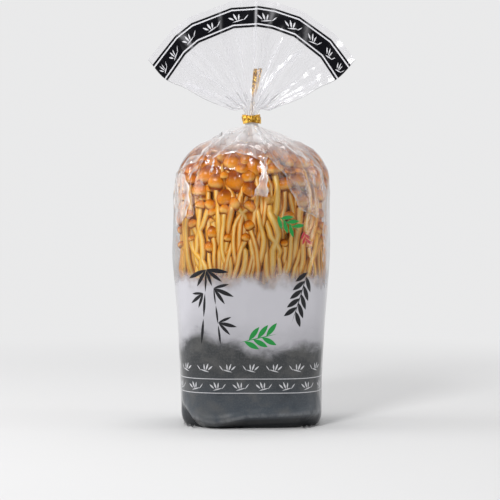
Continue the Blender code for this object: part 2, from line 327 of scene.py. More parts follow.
@dataclass(frozen=True)
class FilmFinish:
    """Thin film: what shows through it, its ink, its haze, its white creases, partly painted highlight, and
    its gloss.
    """

    name: str
    tint: Colour = (0.985, 0.985, 0.99)
    gloss_roughness: float = 0.08
    print_roughness: float = 0.32
    gloss_facing: float = 0.026
    gloss_edge: float = 0.75
    bend_index: float = 1.5
    haze_colour: Colour = (0.915, 0.93, 0.945)
    # crease_white: how white creases show, partly milky creased film and partly painted highlight.
    crease_white: float = 0.6
    streaky: float = 0.5
    crinkled: float = 0.5

    def build(
        self, graph: Graph, ink: tuple[Socket, Socket] | None, haze: Socket, white_creases_and_highlights: Socket, normal: Socket
    ) -> Socket:
        """The shader of the film.

        Args:
            graph: The tree to build in.
            ink: How much ink covers the film, 0 to 1, and its colour, if the film is printed.
            haze: How milky the bare film is, 0 to 1.
            white_creases_and_highlights: How white its creases are, over film and ink alike, 0 to 1: partly
                milky creased film, partly painted highlight.
            normal: The bumped normal.

        Returns:
            The shader's socket.
        """
        lit = graph.socket("BsdfDiffuse", {"Color": self.haze_colour})
        lit_through = graph.socket("BsdfTranslucent", {"Color": self.haze_colour})
        milk = graph.blended(0.4, lit, lit_through)
        film = graph.blended(haze, graph.socket("BsdfTransparent", {"Color": self.tint}), milk)
        roughness = self.gloss_roughness
        if ink:
            film = graph.blended(ink[0], film, graph.socket("BsdfDiffuse", {"Color": ink[1]}))
            roughness = graph.scaled(ink[0], self.print_roughness - roughness, roughness)
        gloss = graph.socket("BsdfGlossy", {"Roughness": roughness, "Normal": normal})
        edge = graph.socket("Fresnel", {"IOR": self.bend_index, "Normal": normal})
        ends = {"From Min": 0.04, "From Max": 0.60, "To Min": self.gloss_facing, "To Max": self.gloss_edge}
        share = graph.socket("MapRange", {"Value": edge, **ends})
        # White creases mix in the milky shader: partly creased film, partly painted highlight.
        return graph.blended(share, graph.blended(white_creases_and_highlights, film, milk), gloss)


def crease_lines(graph: Graph, place: Socket, scale: Pair, width: float) -> Socket:
    """Thin wandering lines along the film's creases, 1 on each line.

    Args:
        graph: The tree to build in.
        place: The film's own coordinates.
        scale: How closely the lines stand, across the film and up it.
        width: How wide they are, in shares of the pattern's own range.

    Returns:
        The lines' socket.
    """
    pattern = graph.noise(place, scale, 2.0, 0.5, 1.2)
    return graph.rise(graph.math("ABSOLUTE", graph.less(pattern, 0.5)), width, 0.0)


def band_between(graph: Graph, up: Socket, low: float, high: float) -> Socket:
    """1 between two heights, with clean edges."""
    soft = 0.08 * MM
    return graph.times(graph.rise(up, low - soft, low + soft), graph.rise(up, high + soft, high - soft))


class Ink(Enum):
    """The inks of the bag's small drawings. Colours are linear."""

    BLACK = (0.010, 0.010, 0.012)
    GREEN = (0.015, 0.230, 0.045)
    RED = (0.420, 0.020, 0.030)
    WHITE = (0.520, 0.520, 0.540)


@dataclass(frozen=True)
class Leaf:
    """One brushed leaf or stroke: its middle, tilt, length and width, in millimetres and degrees."""

    across: float
    up: float
    tilt: float
    length: float
    width: float

    def cover(self, graph: Graph, across: Socket, up: Socket) -> Socket:
        """Where the leaf is.

        Args:
            graph: The tree to build in.
            across: The drawing's own coordinate to the right, in metres.
            up: The one upwards.

        Returns:
            The socket that is 1 on the leaf.
        """
        x, y = graph.less(across, self.across * MM), graph.less(up, self.up * MM)
        c, s = math.cos(math.radians(self.tilt)), math.sin(math.radians(self.tilt))
        along = graph.scaled(x, c, graph.times(y, s))
        aside = graph.scaled(y, c, graph.times(x, -s))
        share = graph.times(along, 2.0 / (self.length * MM))
        edge = graph.scaled(graph.times(share, share), -1.0, 1.0)
        away = graph.times(graph.math("ABSOLUTE", aside), -1.0)
        return graph.rise(graph.scaled(edge, 0.5 * self.width * MM, away), -0.04 * MM, 0.10 * MM)


def leaf_from(across: float, up: float, tilt: float, length: float, width: float) -> Leaf:
    """A leaf that points away from a place."""
    turn, half = math.radians(tilt), 0.5 * length
    return Leaf(across + half * math.cos(turn), up + half * math.sin(turn), tilt, length, width)


def spray(across: float, up: float, tilts: tuple[float, ...], length: float) -> list[Leaf]:
    """Leaves that hang from one place, each at its own tilt."""
    sizes = [length * (1.0 - 0.13 * (index % 3)) for index in range(len(tilts))]
    return [leaf_from(across, up, tilt, size, 0.19 * size) for tilt, size in zip(tilts, sizes)]


def twig(across: float, up: float, tilt: float, pairs: int, leaf: float) -> list[Leaf]:
    """A straight twig with pairs of leaves, by turns on either side.

    Args:
        across: Where it starts, in millimetres to the right.
        up: How high it starts, in millimetres.
        tilt: Its tilt in degrees.
        pairs: How many pairs of leaves it has.
        leaf: How long its leaves are, in millimetres.

    Returns:
        The twig's stalk and its leaves.
    """
    turn = math.radians(tilt)
    made = [leaf_from(across, up, tilt, leaf * (0.55 * pairs + 0.8), 0.7)]
    for index in range(2 * pairs):
        start = leaf * (0.35 + 0.27 * index)
        foot = (across + start * math.cos(turn), up + start * math.sin(turn))
        made.append(leaf_from(*foot, tilt + (38 if index % 2 else -38), leaf, 0.30 * leaf))
    return made


BAMBOO_STALKS = (
    (-35.0, 64.0, 83, 17.0, 2.1), (-33.0, 81.0, 84, 16.0, 1.9), (-31.4, 97.0, 86, 15.0, 1.5),
    (-22.5, 62.0, 97, 13.0, 1.6), (-24.0, 75.0, 96, 12.5, 1.5), (-25.4, 87.0, 96, 11.0, 1.2),
)
BAMBOO = (
    [Leaf(*joint) for joint in BAMBOO_STALKS]
    + spray(-31.0, 104.5, (-6, -36, -70, 204, 238), 15.5)
    + spray(-26.0, 92.5, (-22, -54, 14), 15.0)
    + spray(-33.4, 89.0, (214, 246, 184), 12.5)
    + spray(-23.2, 70.0, (-12, -44, 22), 13.5)
)
DRAWINGS = (
    (Ink.BLACK, BAMBOO),
    (Ink.GREEN, twig(-9.0, 57.0, 12.0, 3, 11.5)),
    (Ink.BLACK, twig(41.0, 106.0, -110.0, 5, 11.0)),
    (Ink.GREEN, twig(15.0, 141.0, -34.0, 3, 9.0)),
    (Ink.RED, twig(36.0, 131.0, -74.0, 2, 6.0)),
)
SPRIG = (
    Leaf(0.6, -2.1, 14, 7.4, 0.75),
    Leaf(5.0, -0.2, 52, 4.6, 0.65),
    Leaf(-1.2, 0.4, 112, 5.0, 1.15),
    Leaf(-3.6, -0.3, 140, 4.4, 1.05),
    Leaf(0.9, 0.3, 84, 4.2, 1.0),
)
SPRIG_PITCH = 16.5 * MM


def sprig_row(graph: Graph, across: Socket, up: Socket, line: Pair | None = None) -> Socket:
    """A running row of leaf sprigs, between two thin lines if asked.

    Args:
        graph: The tree to build in.
        across: The coordinate that the row runs along.
        up: The distance above the row's middle.
        line: Where each line starts and ends, from the row's middle.

    Returns:
        The socket that is 1 on the sprigs and lines.
    """
    share = graph.less(graph.math("FRACT", graph.math("DIVIDE", across, SPRIG_PITCH)), 0.5)
    local = graph.times(share, SPRIG_PITCH)
    drawn = [leaf.cover(graph, local, up) for leaf in SPRIG]
    if line:
        drawn.append(band_between(graph, graph.math("ABSOLUTE", up), *line))
    return graph.most(drawn)


@dataclass(frozen=True)
class Hill:
    """One rise or dip of the misty print's outline, in millimetres: its place, height and width."""

    across: float
    rise: float
    width: float


@dataclass(frozen=True)
class FootPrint:
    """The misty grey print on the bag's foot, with small drawings and painted shade at its bottom edge.
    Heights are metres up the film.
    """

    pale: Colour = (0.47, 0.463, 0.495)
    veiled: Colour = (0.26, 0.256, 0.275)
    dark: Colour = (0.040, 0.042, 0.044)
    deep: Colour = (0.054, 0.064, 0.076)
    grain: Colour = (0.105, 0.11, 0.115)
    light_blot: Colour = (0.110, 0.108, 0.104)
    dark_blot: Colour = (0.022, 0.025, 0.028)
    # under: painted shade, the near-black that the lowest few millimetres of the foot darken to beside the
    # floor.
    under: Colour = (0.010, 0.011, 0.013)
    fade_top: float = 117.0 * MM
    fade_full: float = 101.0 * MM
    fade_ragged: float = 22.0 * MM
    mist_height: float = 46.0 * MM
    mist_ragged: float = 14.0 * MM
    mist_soft: float = 5.5 * MM
    sprig_height: float = 28.5 * MM
    sprig_lines: Pair = (4.4 * MM, 4.85 * MM)
    upper_height: float = 40.5 * MM
    hills: tuple[Hill, ...] = (
        Hill(-39.0, 10.0, 13.0), Hill(-15.0, 3.5, 10.0), Hill(11.0, -3.0, 9.0),
        Hill(36.0, 2.0, 13.0), Hill(92.0, 9.0, 20.0), Hill(-110.0, 7.0, 22.0),
    )

    def build(self, graph: Graph, place: Socket) -> tuple[Socket, Socket]:
        """The print's cover and colour.

        Args:
            graph: The tree to build in.
            place: The film's own coordinates, in metres.

        Returns:
            The sockets of how much ink covers the film, and of its colour.
        """
        across, up, _ = graph.split(place)
        soft = graph.noise(place, (75.0, 60.0), 3.0, 0.55)
        cover = graph.rise(graph.scaled(soft, self.fade_ragged, up), self.fade_top, self.fade_full)
        cloud = graph.noise(place, (70.0, 110.0), 5.0, 0.62, 0.6)
        ridge = graph.scaled(cloud, -self.mist_ragged, up)
        for hill in self.hills:
            away = graph.times(graph.less(across, hill.across * MM), 1.0 / (hill.width * MM))
            swell = graph.math("EXPONENT", graph.times(away, away, -1.0))
            ridge = graph.scaled(swell, -hill.rise * MM, ridge)
        mist = graph.rise(ridge, self.mist_height + self.mist_soft, self.mist_height - self.mist_soft)
        veil = graph.rise(ridge, self.mist_height + 4.0 * self.mist_soft, self.mist_height, 0.40)
        speckle = graph.noise(place, (900.0, 900.0), 4.0, 0.7)
        blots = graph.noise(place, (46.0, 60.0), 4.0, 0.6, 0.4)
        wash = graph.layered(
            self.dark,
            (graph.rise(up, 0.040, 0.012), self.deep),
            (graph.rise(speckle, 0.45, 0.70, 0.42), self.grain),
            (graph.rise(blots, 0.46, 0.66, 0.50), self.light_blot),
            (graph.rise(blots, 0.46, 0.26, 0.56), self.dark_blot),
            # Painted shade: the wash darkens over the lowest 8 mm of the film.
            (graph.rise(up, 0.0080, 0.0030, 0.5), self.under),
        )
        colour = graph.mixed(mist, graph.mixed(veil, self.pale, self.veiled), wash)
        for ink, leaves in DRAWINGS:
            drawn = graph.most(leaf.cover(graph, across, up) for leaf in leaves)
            colour = graph.mixed(drawn, colour, ink.value)
            cover = graph.most((cover, drawn))
        lower = sprig_row(graph, across, graph.less(up, self.sprig_height), self.sprig_lines)
        mirrored = graph.scaled(across, -1.0, 0.5 * SPRIG_PITCH)
        upper = sprig_row(graph, mirrored, graph.less(up, self.upper_height))
        return cover, graph.mixed(graph.most((lower, upper)), colour, Ink.WHITE.value)


@dataclass(frozen=True)
class BorderPrint:
    """The black border with a running row of white leaf sprigs. Its height is metres from the tie."""

    black: Colour = (0.006, 0.006, 0.008)
    white: Colour = (0.72, 0.72, 0.75)
    height: float = 67.95 * MM
    reach: float = 6.75 * MM
    lines: Pair = (4.5 * MM, 5.4 * MM)

    def build(self, graph: Graph, place: Socket) -> tuple[Socket, Socket]:
        """The border's cover and colour, as for the print on the foot."""
        across, up, _ = graph.split(place)
        cover = band_between(graph, up, self.height - self.reach, self.height + self.reach)
        sprigs = sprig_row(graph, across, graph.less(up, self.height), self.lines)
        return cover, graph.mixed(sprigs, self.black, self.white)


Artwork = FootPrint | BorderPrint | None
Milky = Callable[[Graph, Socket], tuple[Socket, Socket | float]]


def film_material(finish: FilmFinish, artwork: Artwork, milky: Milky) -> Material:
    """The material of one piece of film.

    Args:
        finish: The film's finish.
        artwork: Its print, if any.
        milky: A function of the graph and coordinates that gives the film's haze and its fine creases.

    Returns:
        The material.
    """
    graph = Graph(finish.name)
    place = graph.socket("UVMap", uv_map="film")
    crinkle = graph.noise(place, (160.0, 60.0), 4.0, 0.55, 0.8)
    haze, lines = milky(graph, place)
    normal = graph.bump(graph.scaled(lines, 0.6, crinkle), finish.crinkled, 0.6 * MM)
    # The attribute holds crease whiteness, partly painted highlight, and, where negative, painted shade.
    whitening_and_shade_values = graph.socket("Attribute", output="Fac", attribute_name="whitening_and_shade")
    ink = None
    if artwork:
        cover, colour = artwork.build(graph, place)
        # Painted shade: the ink darkens where the attribute is negative, below the foot's fold.
        ink = cover, graph.mixed(graph.rise(whitening_and_shade_values, 0.0, -1.0, 0.72), colour, (0.012, 0.013, 0.015))
    # White creases, partly milky creased film and partly painted highlight, broken into streaks.
    wrinkles = graph.rise(graph.noise(place, (150.0, 70.0), 4.0, 0.6, 1.0), 0.34, 0.66, 2.0)
    wrinkled = graph.scaled(wrinkles, finish.streaky, 1.0 - finish.streaky)
    white_creases_and_highlights = graph.math("MULTIPLY", graph.scaled(whitening_and_shade_values, wrinkled, lines), finish.crease_white, clamp=True)
    return graph.surface(finish.build(graph, ink, haze, white_creases_and_highlights, normal))


def ruled_faces(rows: int, columns: int, closed: bool = False) -> Array:
    """The quads of a grid of points.

    Args:
        rows: How many rows of points it has, from the bottom up.
        columns: How many columns, to the right seen from outside.
        closed: Whether the last column joins the first.

    Returns:
        An array of point numbers, four for each quad.
    """
    here = np.arange(columns if closed else columns - 1)[None, :]
    row = np.arange(rows - 1)[:, None] * columns
    after = (here + 1) % columns
    quads = [row + here, row + after, row + columns + after, row + columns + here]
    return np.stack(quads, axis=-1).reshape(-1, 4)


def linked_mesh(name: str, vertices: Sequence, faces: Sequence) -> Piece:
    """Makes a smooth mesh object and links it to the scene.

    Args:
        name: The object's name.
        vertices: Its points.
        faces: Its faces, as point numbers.

    Returns:
        The object.
    """
    data = bpy.data.meshes.new(name)
    data.from_pydata(vertices, [], faces)
    data.polygons.foreach_set("use_smooth", [True] * len(data.polygons))
    data.update()
    piece = bpy.data.objects.new(name, data)
    bpy.context.scene.collection.objects.link(piece)
    return piece


def hand_over(piece: Piece, material: Material, node: str) -> None:
    """Dresses a piece, rides it on the body, and lets it stand for its node.

    Args:
        piece: The piece.
        material: What it is dressed in.
        node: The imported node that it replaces.
    """
    piece.data.materials.clear()
    piece.data.materials.append(material)
    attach(piece, ROOT)
    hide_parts(node)
    piece.data.calc_loop_triangles()
    LOG.info("%s: %d triangles", piece.name, len(piece.data.loop_triangles))


@dataclass
class FilmGrid:
    """A grid of points on film: rows from the bottom up, columns to the right seen from outside.

    A closed grid's columns run all the way round, and its places hold one column more.
    """

    points: Array
    places: Array
    # How white each point's creases show, partly painted highlight, or from -1 how much painted shade it
    # gets.
    whitening_and_shade: Array
    closed: bool = False

    def corner_places(self) -> Array:
        """The film's own coordinates of each quad's corners."""
        low, high = self.places[:-1], self.places[1:]
        corners = [low[:, :-1], low[:, 1:], high[:, 1:], high[:, :-1]]
        return np.stack(corners, axis=2).reshape(-1, 2)


def make_film(
    name: str, grids: list[FilmGrid], finish: FilmFinish, artwork: Artwork, milky: Milky,
    closed_middle: Pair | None = None,
) -> None:
    """Makes and dresses one film piece, with its UV map and its attribute of crease whiteness, partly painted
    highlight, and painted shade.

    Args:
        name: The piece's name.
        grids: The grids that it is made of.
        finish: The film's finish.
        artwork: Its print, if any.
        milky: What gives its haze and fine creases.
        closed_middle: The place on the floor that closes the first grid's first row, if it is closed.
    """
    vertices, faces, corner_places, whitening_and_shade_values = [], [], [], []
    for grid in grids:
        faces += (ruled_faces(*grid.points.shape[:2], grid.closed) + len(vertices)).tolist()
        vertices += grid.points.reshape(-1, 3).tolist()
        corner_places.append(grid.corner_places())
        whitening_and_shade_values.append(grid.whitening_and_shade.ravel())
    if closed_middle:
        columns, edge = grids[0].points.shape[1], grids[0].places[0]
        vertices.append([*closed_middle, 0.0])
        whitening_and_shade_values.append(np.zeros(1))
        faces += [[len(vertices) - 1, (k + 1) % columns, k] for k in range(columns)]
        fan = [[(edge[k] + edge[k + 1]) / 2 - (0.0, 30.0 * MM), edge[k + 1], edge[k]] for k in range(columns)]
        corner_places.append(np.array(fan).reshape(-1, 2))
    piece = linked_mesh(name, vertices, faces)
    layer = piece.data.uv_layers.new(name="film")
    layer.data.foreach_set("uv", np.concatenate(corner_places).astype(np.float32).ravel())
    mark = piece.data.attributes.new("whitening_and_shade", "FLOAT", "POINT")
    mark.data.foreach_set("value", np.concatenate(whitening_and_shade_values).astype(np.float32))
    hand_over(piece, film_material(finish, artwork, milky), "film_bag")


@dataclass(frozen=True)
class Pleat:
    """One crease that runs down the shoulder from the tie."""

    angle: float
    depth: float
    reach: float
    width: float
    drift: float


@dataclass(frozen=True)
class FootFold:
    """Where the front's film turns under at the foot: a line in millimetres across and up."""

    line: Line = (
        (-47.5, 25.0), (-45.0, 16.0), (-39.2, 7.8), (-31.0, 4.4), (-22.4, 3.4), (-13.0, 5.6), (-4.2, 7.8),
        (8.0, 8.4), (18.5, 8.8), (33.0, 9.2), (47.0, 9.9),
    )
    slope: float = 0.95
    deepest: float = 5.5 * MM
    ridge: float = 1.3 * MM
    ridge_width: float = 3.6 * MM

    def relief(self, place: Array) -> tuple[Array, Array]:
        """What the fold does to the film.

        Args:
            place: Places on the plain form.

        Returns:
            How far the film is tucked in at each, and how white its crease is, partly as painted highlight,
            or how much painted shade it gets if negative.
        """
        line = np.array(self.line) * MM
        above = place[..., 2] - np.interp(place[..., 0], line[:, 0], line[:, 1])
        below = np.clip(-above, 0.0, None)
        front = smooth_step(-15.0 * MM, -33.0 * MM, place[..., 1])
        tucked = np.minimum(below * self.slope, self.deepest)
        swell = self.ridge * bell(above - 0.4 * self.ridge_width, self.ridge_width)
        swell = swell * smooth_step(43.0 * MM, 30.0 * MM, np.abs(place[..., 0]))
        # A white line just above the fold: partly creased film, partly painted highlight.
        crease = bell(above - 0.6 * MM, 1.5 * MM)
        # Painted shade below the fold line, on the front.
        shade = smooth_step(0.4 * MM, 3.0 * MM, below) * smooth_step(0.0, -20.0 * MM, place[..., 1])
        return (tucked - swell) * front, 0.20 * crease * front - shade


@dataclass
class BodyFilm:
    """The bag below the tie: flat bottom, printed foot, clear wall and pleated shoulder."""

    form: BagForm = FORM
    columns: int = 600
    pleats: int = 30
    seed: int = 5
    shoulder_from: float = 135.0 * MM
    foot_fold: FootFold = FootFold()
    finish: FilmFinish = FilmFinish("body_film")
    artwork: FootPrint = FootPrint()

    def heights(self) -> Array:
        """The heights of the film's rows from the bottom's edge to the tie."""
        low = self.form.rounding * (1.0 - np.cos(np.linspace(0.0, math.pi / 2, 16)))
        foot = np.linspace(self.form.rounding, 27.0 * MM, 18)[1:]
        wall = np.linspace(27.0 * MM, self.shoulder_from, 46)[1:]
        rise = 1.0 - (1.0 - np.linspace(0.0, 1.0, 76)[1:]) ** 1.45
        return np.concatenate([low, foot, wall, blend(self.shoulder_from, self.form.tie_height, rise)])

    def creases(self) -> list[Pleat]:
        """The pleats that run down from the tie, spread unevenly round the neck."""
        draw = random.Random(self.seed)
        return [
            Pleat(
                angle=TURN * (k + draw.uniform(-0.38, 0.38)) / self.pleats,
                depth=draw.uniform(0.7, 2.3) * MM,
                reach=draw.uniform(128.0, 180.0) * MM,
                width=draw.uniform(1.1, 3.0) * MM,
                drift=draw.uniform(-0.28, 0.28),
            )
            for k in range(self.pleats)
        ]

    def relief(self, height: Array, angle: Array, place: Array) -> tuple[Array, Array]:
        """How far the film stands out of its plain form, and how creased it is.

        Args:
            height: The heights of the grid's points.
            angle: Their angles round the bag.
            place: The points on the plain form.

        Returns:
            The film's relief in metres, and its crease whiteness, partly painted highlight, up to 1, or its
            painted shade down to -1.
        """
        tucked, whitening_and_shade = self.foot_fold.relief(place)
        out = -tucked
        radius = np.maximum(self.form.half_width(height), 3.0 * MM)
        for pleat in self.creases():
            slant = pleat.drift * (self.form.tie_height - height) / (60.0 * MM)
            away = np.abs((angle - pleat.angle - slant + math.pi) % TURN - math.pi) * radius
            width = pleat.width * (0.55 + 0.45 * np.minimum(1.0, radius / (30.0 * MM)))
            strength = smooth_step(pleat.reach, pleat.reach + 26.0 * MM, height)
            strength = strength * np.minimum(1.0, radius / (16.0 * MM))
            out -= pleat.depth * strength * (np.exp(-away / width) - 0.35 * bell(away - 2.4 * width, width))
            # Pleat ridges whiten, partly as creased film and partly as painted highlight.
            whitening_and_shade += 0.38 * strength * bell(away, 0.35 * width + 0.3 * MM)
        cells = sampled(lambda spot: noise.voronoi(spot)[0][:2], place * np.array([95.0, 95.0, 60.0]))
        swell = sampled(noise.noise, place * np.array([34.0, 34.0, 22.0]))[..., 0]
        shoulder = smooth_step(122.0 * MM, 158.0 * MM, height)
        amount = (0.55 + 1.9 * shoulder) * MM * smooth_step(0.0, 8.0 * MM, height)
        amount = amount * np.minimum(1.0, radius / (14.0 * MM))
        # Cell borders on the shoulder whiten too, partly as painted highlight.
        whitening_and_shade += 0.14 * shoulder * bell(cells[..., 1] - cells[..., 0], 0.04)
        wall = smooth_step(10.0 * MM, 40.0 * MM, height) * smooth_step(196.0 * MM, 170.0 * MM, height)
        out = out + (cells[..., 0] - 0.5) * amount + 1.3 * MM * swell * wall
        return out, np.clip(whitening_and_shade, -1.0, 1.0)

    def outside(self, height: Array, angle: Array, lift: Number) -> FilmGrid:
        """The film's own surface, or one a little outside it.

        Args:
            height: The heights of the grid's points.
            angle: Their angles round the bag.
            lift: How far the points lie outside the film.

        Returns:
            The grid, open, with places that leave out the closing column.
        """
        plain = self.form.points(height, angle)
        relief, whitening_and_shade = self.relief(height, angle, plain)
        points = plain + self.form.normals(height, angle) * (relief + lift)[..., None]
        points[..., 2] = np.maximum(points[..., 2], 0.0)
        return FilmGrid(points, np.stack([angle * 50.0 * MM, height], axis=-1), whitening_and_shade)

    def places(self, height: Array, angle: Array) -> Array:
        """The film's own coordinates: metres along each row from the front's middle, and the height."""
        ring = self.form.points(height, angle)
        along = walked(np.concatenate([ring, ring[:, :1]], axis=1))
        across = 2.0 * self.form.flat_width * (along / along[:, -1:] - 0.5)
        return np.stack([across, np.broadcast_to(height[:, :1], across.shape)], axis=-1)

    def milky(self, graph: Graph, place: Socket) -> tuple[Socket, Socket]:
        """The wall's haze, which grows towards the neck and in patches, and its fine creases."""
        _, up, _ = graph.split(place)
        cloud = graph.noise(place, (42.0, 30.0), 3.0, 0.55, 0.5)
        patches = graph.times(graph.rise(cloud, 0.50, 0.74, 0.22), graph.rise(up, 0.172, 0.190))
        neck = graph.times(graph.scaled(cloud, 1.7, 0.26), graph.rise(up, 0.176, 0.195))
        haze = graph.math("ADD", graph.math("ADD", patches, neck), 0.004, clamp=True)
        broken = graph.rise(graph.noise(place, (90.0, 70.0), 2.0), 0.42, 0.62)
        lines = crease_lines(graph, place, (64.0, 24.0), 0.012)
        return haze, graph.times(lines, broken, graph.rise(up, 0.130, 0.186, 0.60))

    def build(self) -> None:
        """Makes and dresses the film body."""
        height, angle = np.meshgrid(self.heights(), self.form.even_angles(self.columns), indexing="ij")
        grid = self.outside(height, angle, 0.0)
        grid.points[0, :, 2] = 0.0
        grid.places = self.places(height, angle)
        grid.closed = True
        make_film("film_body", [grid], self.finish, self.artwork, self.milky, closed_middle=(0.0, 0.0))


@dataclass(frozen=True)
class Fold:
    """A strip of film doubled over on the wall, between two edges in millimetres across and up, and how white
    it shows: partly its doubled film, partly painted glare.
    """

    first: Line
    second: Line
    # white: how white the fold shows, partly its doubled milky film and partly painted highlight of the
    # lamps.
    white: float
    lift: float = 0.8
    behind: bool = False


FOLDS = (
    Fold(((-28.8, 175.6), (-19.1, 178.2), (-10.4, 179.8), (-1.8, 178.6), (7.3, 175.0), (9.2, 173.7)),
         ((-27.0, 180.4), (-17.2, 184.5), (-8.0, 187.0), (0.0, 188.0), (6.8, 186.6), (11.0, 181.4)),
         0.27, 1.2),
    Fold(((8.4, 178.0), (7.0, 169.0), (4.4, 160.0), (1.0, 152.4)),
         ((10.2, 178.0), (9.8, 169.0), (10.2, 160.0), (10.6, 151.0)), 0.44, 1.1),
    Fold(((-26.4, 166.8), (-25.6, 170.5), (-24.7, 175.2)),
         ((-24.9, 167.0), (-24.2, 170.8), (-23.5, 175.4)), 0.7),
    Fold(((9.4, 188.0), (20.0, 184.0), (33.0, 178.0), (45.0, 168.0), (49.0, 150.0), (49.5, 136.0)),
         ((8.6, 179.0), (15.0, 173.0), (21.5, 165.0), (25.0, 155.0), (31.5, 143.0), (44.0, 137.0)),
         0.22, 0.9),
    # This fold on the left edge stands in for the glare of the lamps there: painted highlight over doubled
    # film.
    Fold(((-50.4, 167.0), (-50.6, 158.0), (-50.2, 148.0), (-49.4, 131.0)),
         ((-43.5, 166.4), (-40.6, 158.0), (-40.2, 146.0), (-44.4, 134.0)), 0.44, 0.9),
    Fold(((45.6, 162.0), (47.0, 140.0), (46.2, 104.0)),
         ((48.8, 160.0), (50.3, 138.0), (49.4, 104.0)), 0.22, 0.7),
    Fold(((-46.6, 169.0), (-33.8, 180.0), (-20.0, 192.0)),
         ((-45.2, 167.6), (-32.0, 178.8), (-18.6, 191.2)), 0.26),
    Fold(((-41.0, 164.0), (-35.0, 171.5), (-27.0, 183.0)),
         ((-40.2, 162.8), (-34.0, 170.4), (-26.2, 182.2)), 0.22),
    Fold(((12.0, 191.5), (24.0, 184.5), (38.0, 174.0)),
         ((11.6, 189.8), (23.0, 183.0), (36.6, 172.9)), 0.28, 1.3),
    Fold(((-14.0, 193.5), (-19.0, 188.0), (-24.0, 183.0)),
         ((-12.0, 193.2), (-17.0, 187.4), (-22.9, 181.9)), 0.30),
    Fold(((2.0, 196.0), (5.0, 191.0), (9.0, 184.0)),
         ((3.9, 195.7), (7.2, 190.4), (11.2, 183.7)), 0.32, 1.2),
    Fold(((-30.0, 186.0), (-14.0, 190.0), (8.0, 186.0), (24.0, 178.0)),
         ((-34.0, 176.0), (-14.0, 180.0), (6.0, 176.0), (25.0, 166.0)), 0.36, 1.0, True),
    Fold(((36.0, 172.0), (39.0, 156.0), (38.0, 138.0)),
         ((43.0, 170.0), (46.0, 154.0), (43.0, 140.0)), 0.4, 0.9, True),
    Fold(((-5.0, 168.0), (-7.0, 156.0), (-6.0, 144.0)),
         ((0.0, 167.0), (-2.0, 155.0), (-3.0, 145.0)), 0.5, 0.9, True),
    Fold(((-46.0, 170.0), (-37.0, 178.0), (-22.0, 190.0)),
         ((-44.0, 168.0), (-35.0, 176.6), (-20.6, 189.3)), 0.40, 0.8, True),
)


@dataclass
class FilmFolds:
    """The wall's doubled folds, which lie on the film and show milky with whiter edges: partly doubled film,
    partly painted glare and highlight.
    """

    body: BodyFilm
    seal_ends: tuple[tuple[float, float, float], ...] = ((-45.0, -37.0, 3.2), (32.5, 44.5, 4.2))
    rows: int = 26
    columns: int = 14
    finish: FilmFinish = FilmFinish("fold_film", crease_white=1.0, streaky=0.62)

    def grid(self, fold: Fold) -> FilmGrid:
        """Models one fold between its edges, which lie closer to the wall than its middle.

        Args:
            fold: The fold.

        Returns:
            Its grid, facing outwards.
        """
        along, over = np.linspace(0.0, 1.0, self.rows), np.linspace(0.0, 1.0, self.columns)
        edges = [np.array(line) * MM for line in (fold.first, fold.second)]
        first, second = (route_through(walked(edge), edge, along * walked(edge)[-1]) for edge in edges)
        place = first[:, None] * (1.0 - over[None, :, None]) + second[:, None] * over[None, :, None]
        ragged = 0.5 * MM * np.sin(23.0 * along + 3.0 * fold.white)[:, None] * (2.0 * over[None, :] - 1.0)
        across, up = place[..., 0] + ragged, place[..., 1]
        angle = self.body.form.front_angle(across, up)
        if fold.behind:
            angle = math.pi - angle
        arch = np.sin(math.pi * np.clip(over, 0.02, 0.98))[None, :] ** 0.4
        grid = self.body.outside(up, angle, (0.25 + fold.lift * arch) * MM)
        wide = np.linalg.norm(place[:, -1:] - place[:, :1], axis=-1)
        ends = np.minimum(along, 1.0 - along)[:, None]
        # Whiter edges: partly the fold's doubled film, partly painted highlight.
        border = bell(np.minimum(over, 1.0 - over)[None, :] * wide, 0.7 * MM) * smooth_step(0.0, 0.08, ends)
        grid.whitening_and_shade = np.clip(fold.white * (0.75 + 1.2 * border) * smooth_step(-0.02, 0.06, ends), 0.0, 1.0)
        row, column = self.rows // 2, self.columns // 2
        over_way = grid.points[row, -1] - grid.points[row, 0]
        along_way = grid.points[-1, column] - grid.points[0, column]
        outward = self.body.form.normals(up[row, column], angle[row, column])
        if np.cross(over_way, along_way) @ outward < 0.0:
            grid = FilmGrid(grid.points[:, ::-1], grid.places[:, ::-1], grid.whitening_and_shade[:, ::-1])
        return grid

    def seal_end(self, start: float, end: float, out: float) -> FilmGrid:
        """One end of the bottom's seal, which is folded under and shows in front of the foot.

        Args:
            start: Where it starts, in millimetres across.
            end: Where it ends.
            out: How far it shows, in millimetres.

        Returns:
            Its grid.
        """
        across, away = np.meshgrid(np.linspace(start, end, 22), np.linspace(1.0, 0.0, 8))
        edge = np.array([self.body.form.front_depth(x * MM, 1.0 * MM, 0.0) for x in across[0]])
        ragged = 0.75 + 0.25 * np.sin(1.9 * across) + 0.15 * np.sin(4.3 * across + 1.0)
        deep = edge[None, :] + (5.0 - (out + 5.0) * away * ragged) * MM
        up = (0.35 + 1.5 * away * np.abs(np.sin(0.9 * across + 0.4))) * MM
        places = np.stack([across * MM, away * out * MM], axis=-1)
        return FilmGrid(np.stack([across * MM, deep, up], axis=-1), places, 0.35 + 0.5 * away**3)

    def milky(self, graph: Graph, place: Socket) -> tuple[Socket, float]:
        """A little haze, and no fine creases."""
        return graph.rise(graph.noise(place, (150.0, 60.0), 3.0, 0.6, 0.6), 0.48, 0.70, 0.14), 0.0

    def build(self) -> None:
        """Makes and dresses the folds as one piece."""
        grids = [self.grid(fold) for fold in FOLDS] + [self.seal_end(*span) for span in self.seal_ends]
        make_film("film_folds", grids, self.finish, None, self.milky)


@dataclass(frozen=True)
class Streak:
    """A sharp crease in the ruffle: its place in the fan at each end, its ends and width in mm, and how white
    it shows, partly painted highlight.
    """

    start: float
    end: float
    low: float
    high: float
    width: float
    white: float


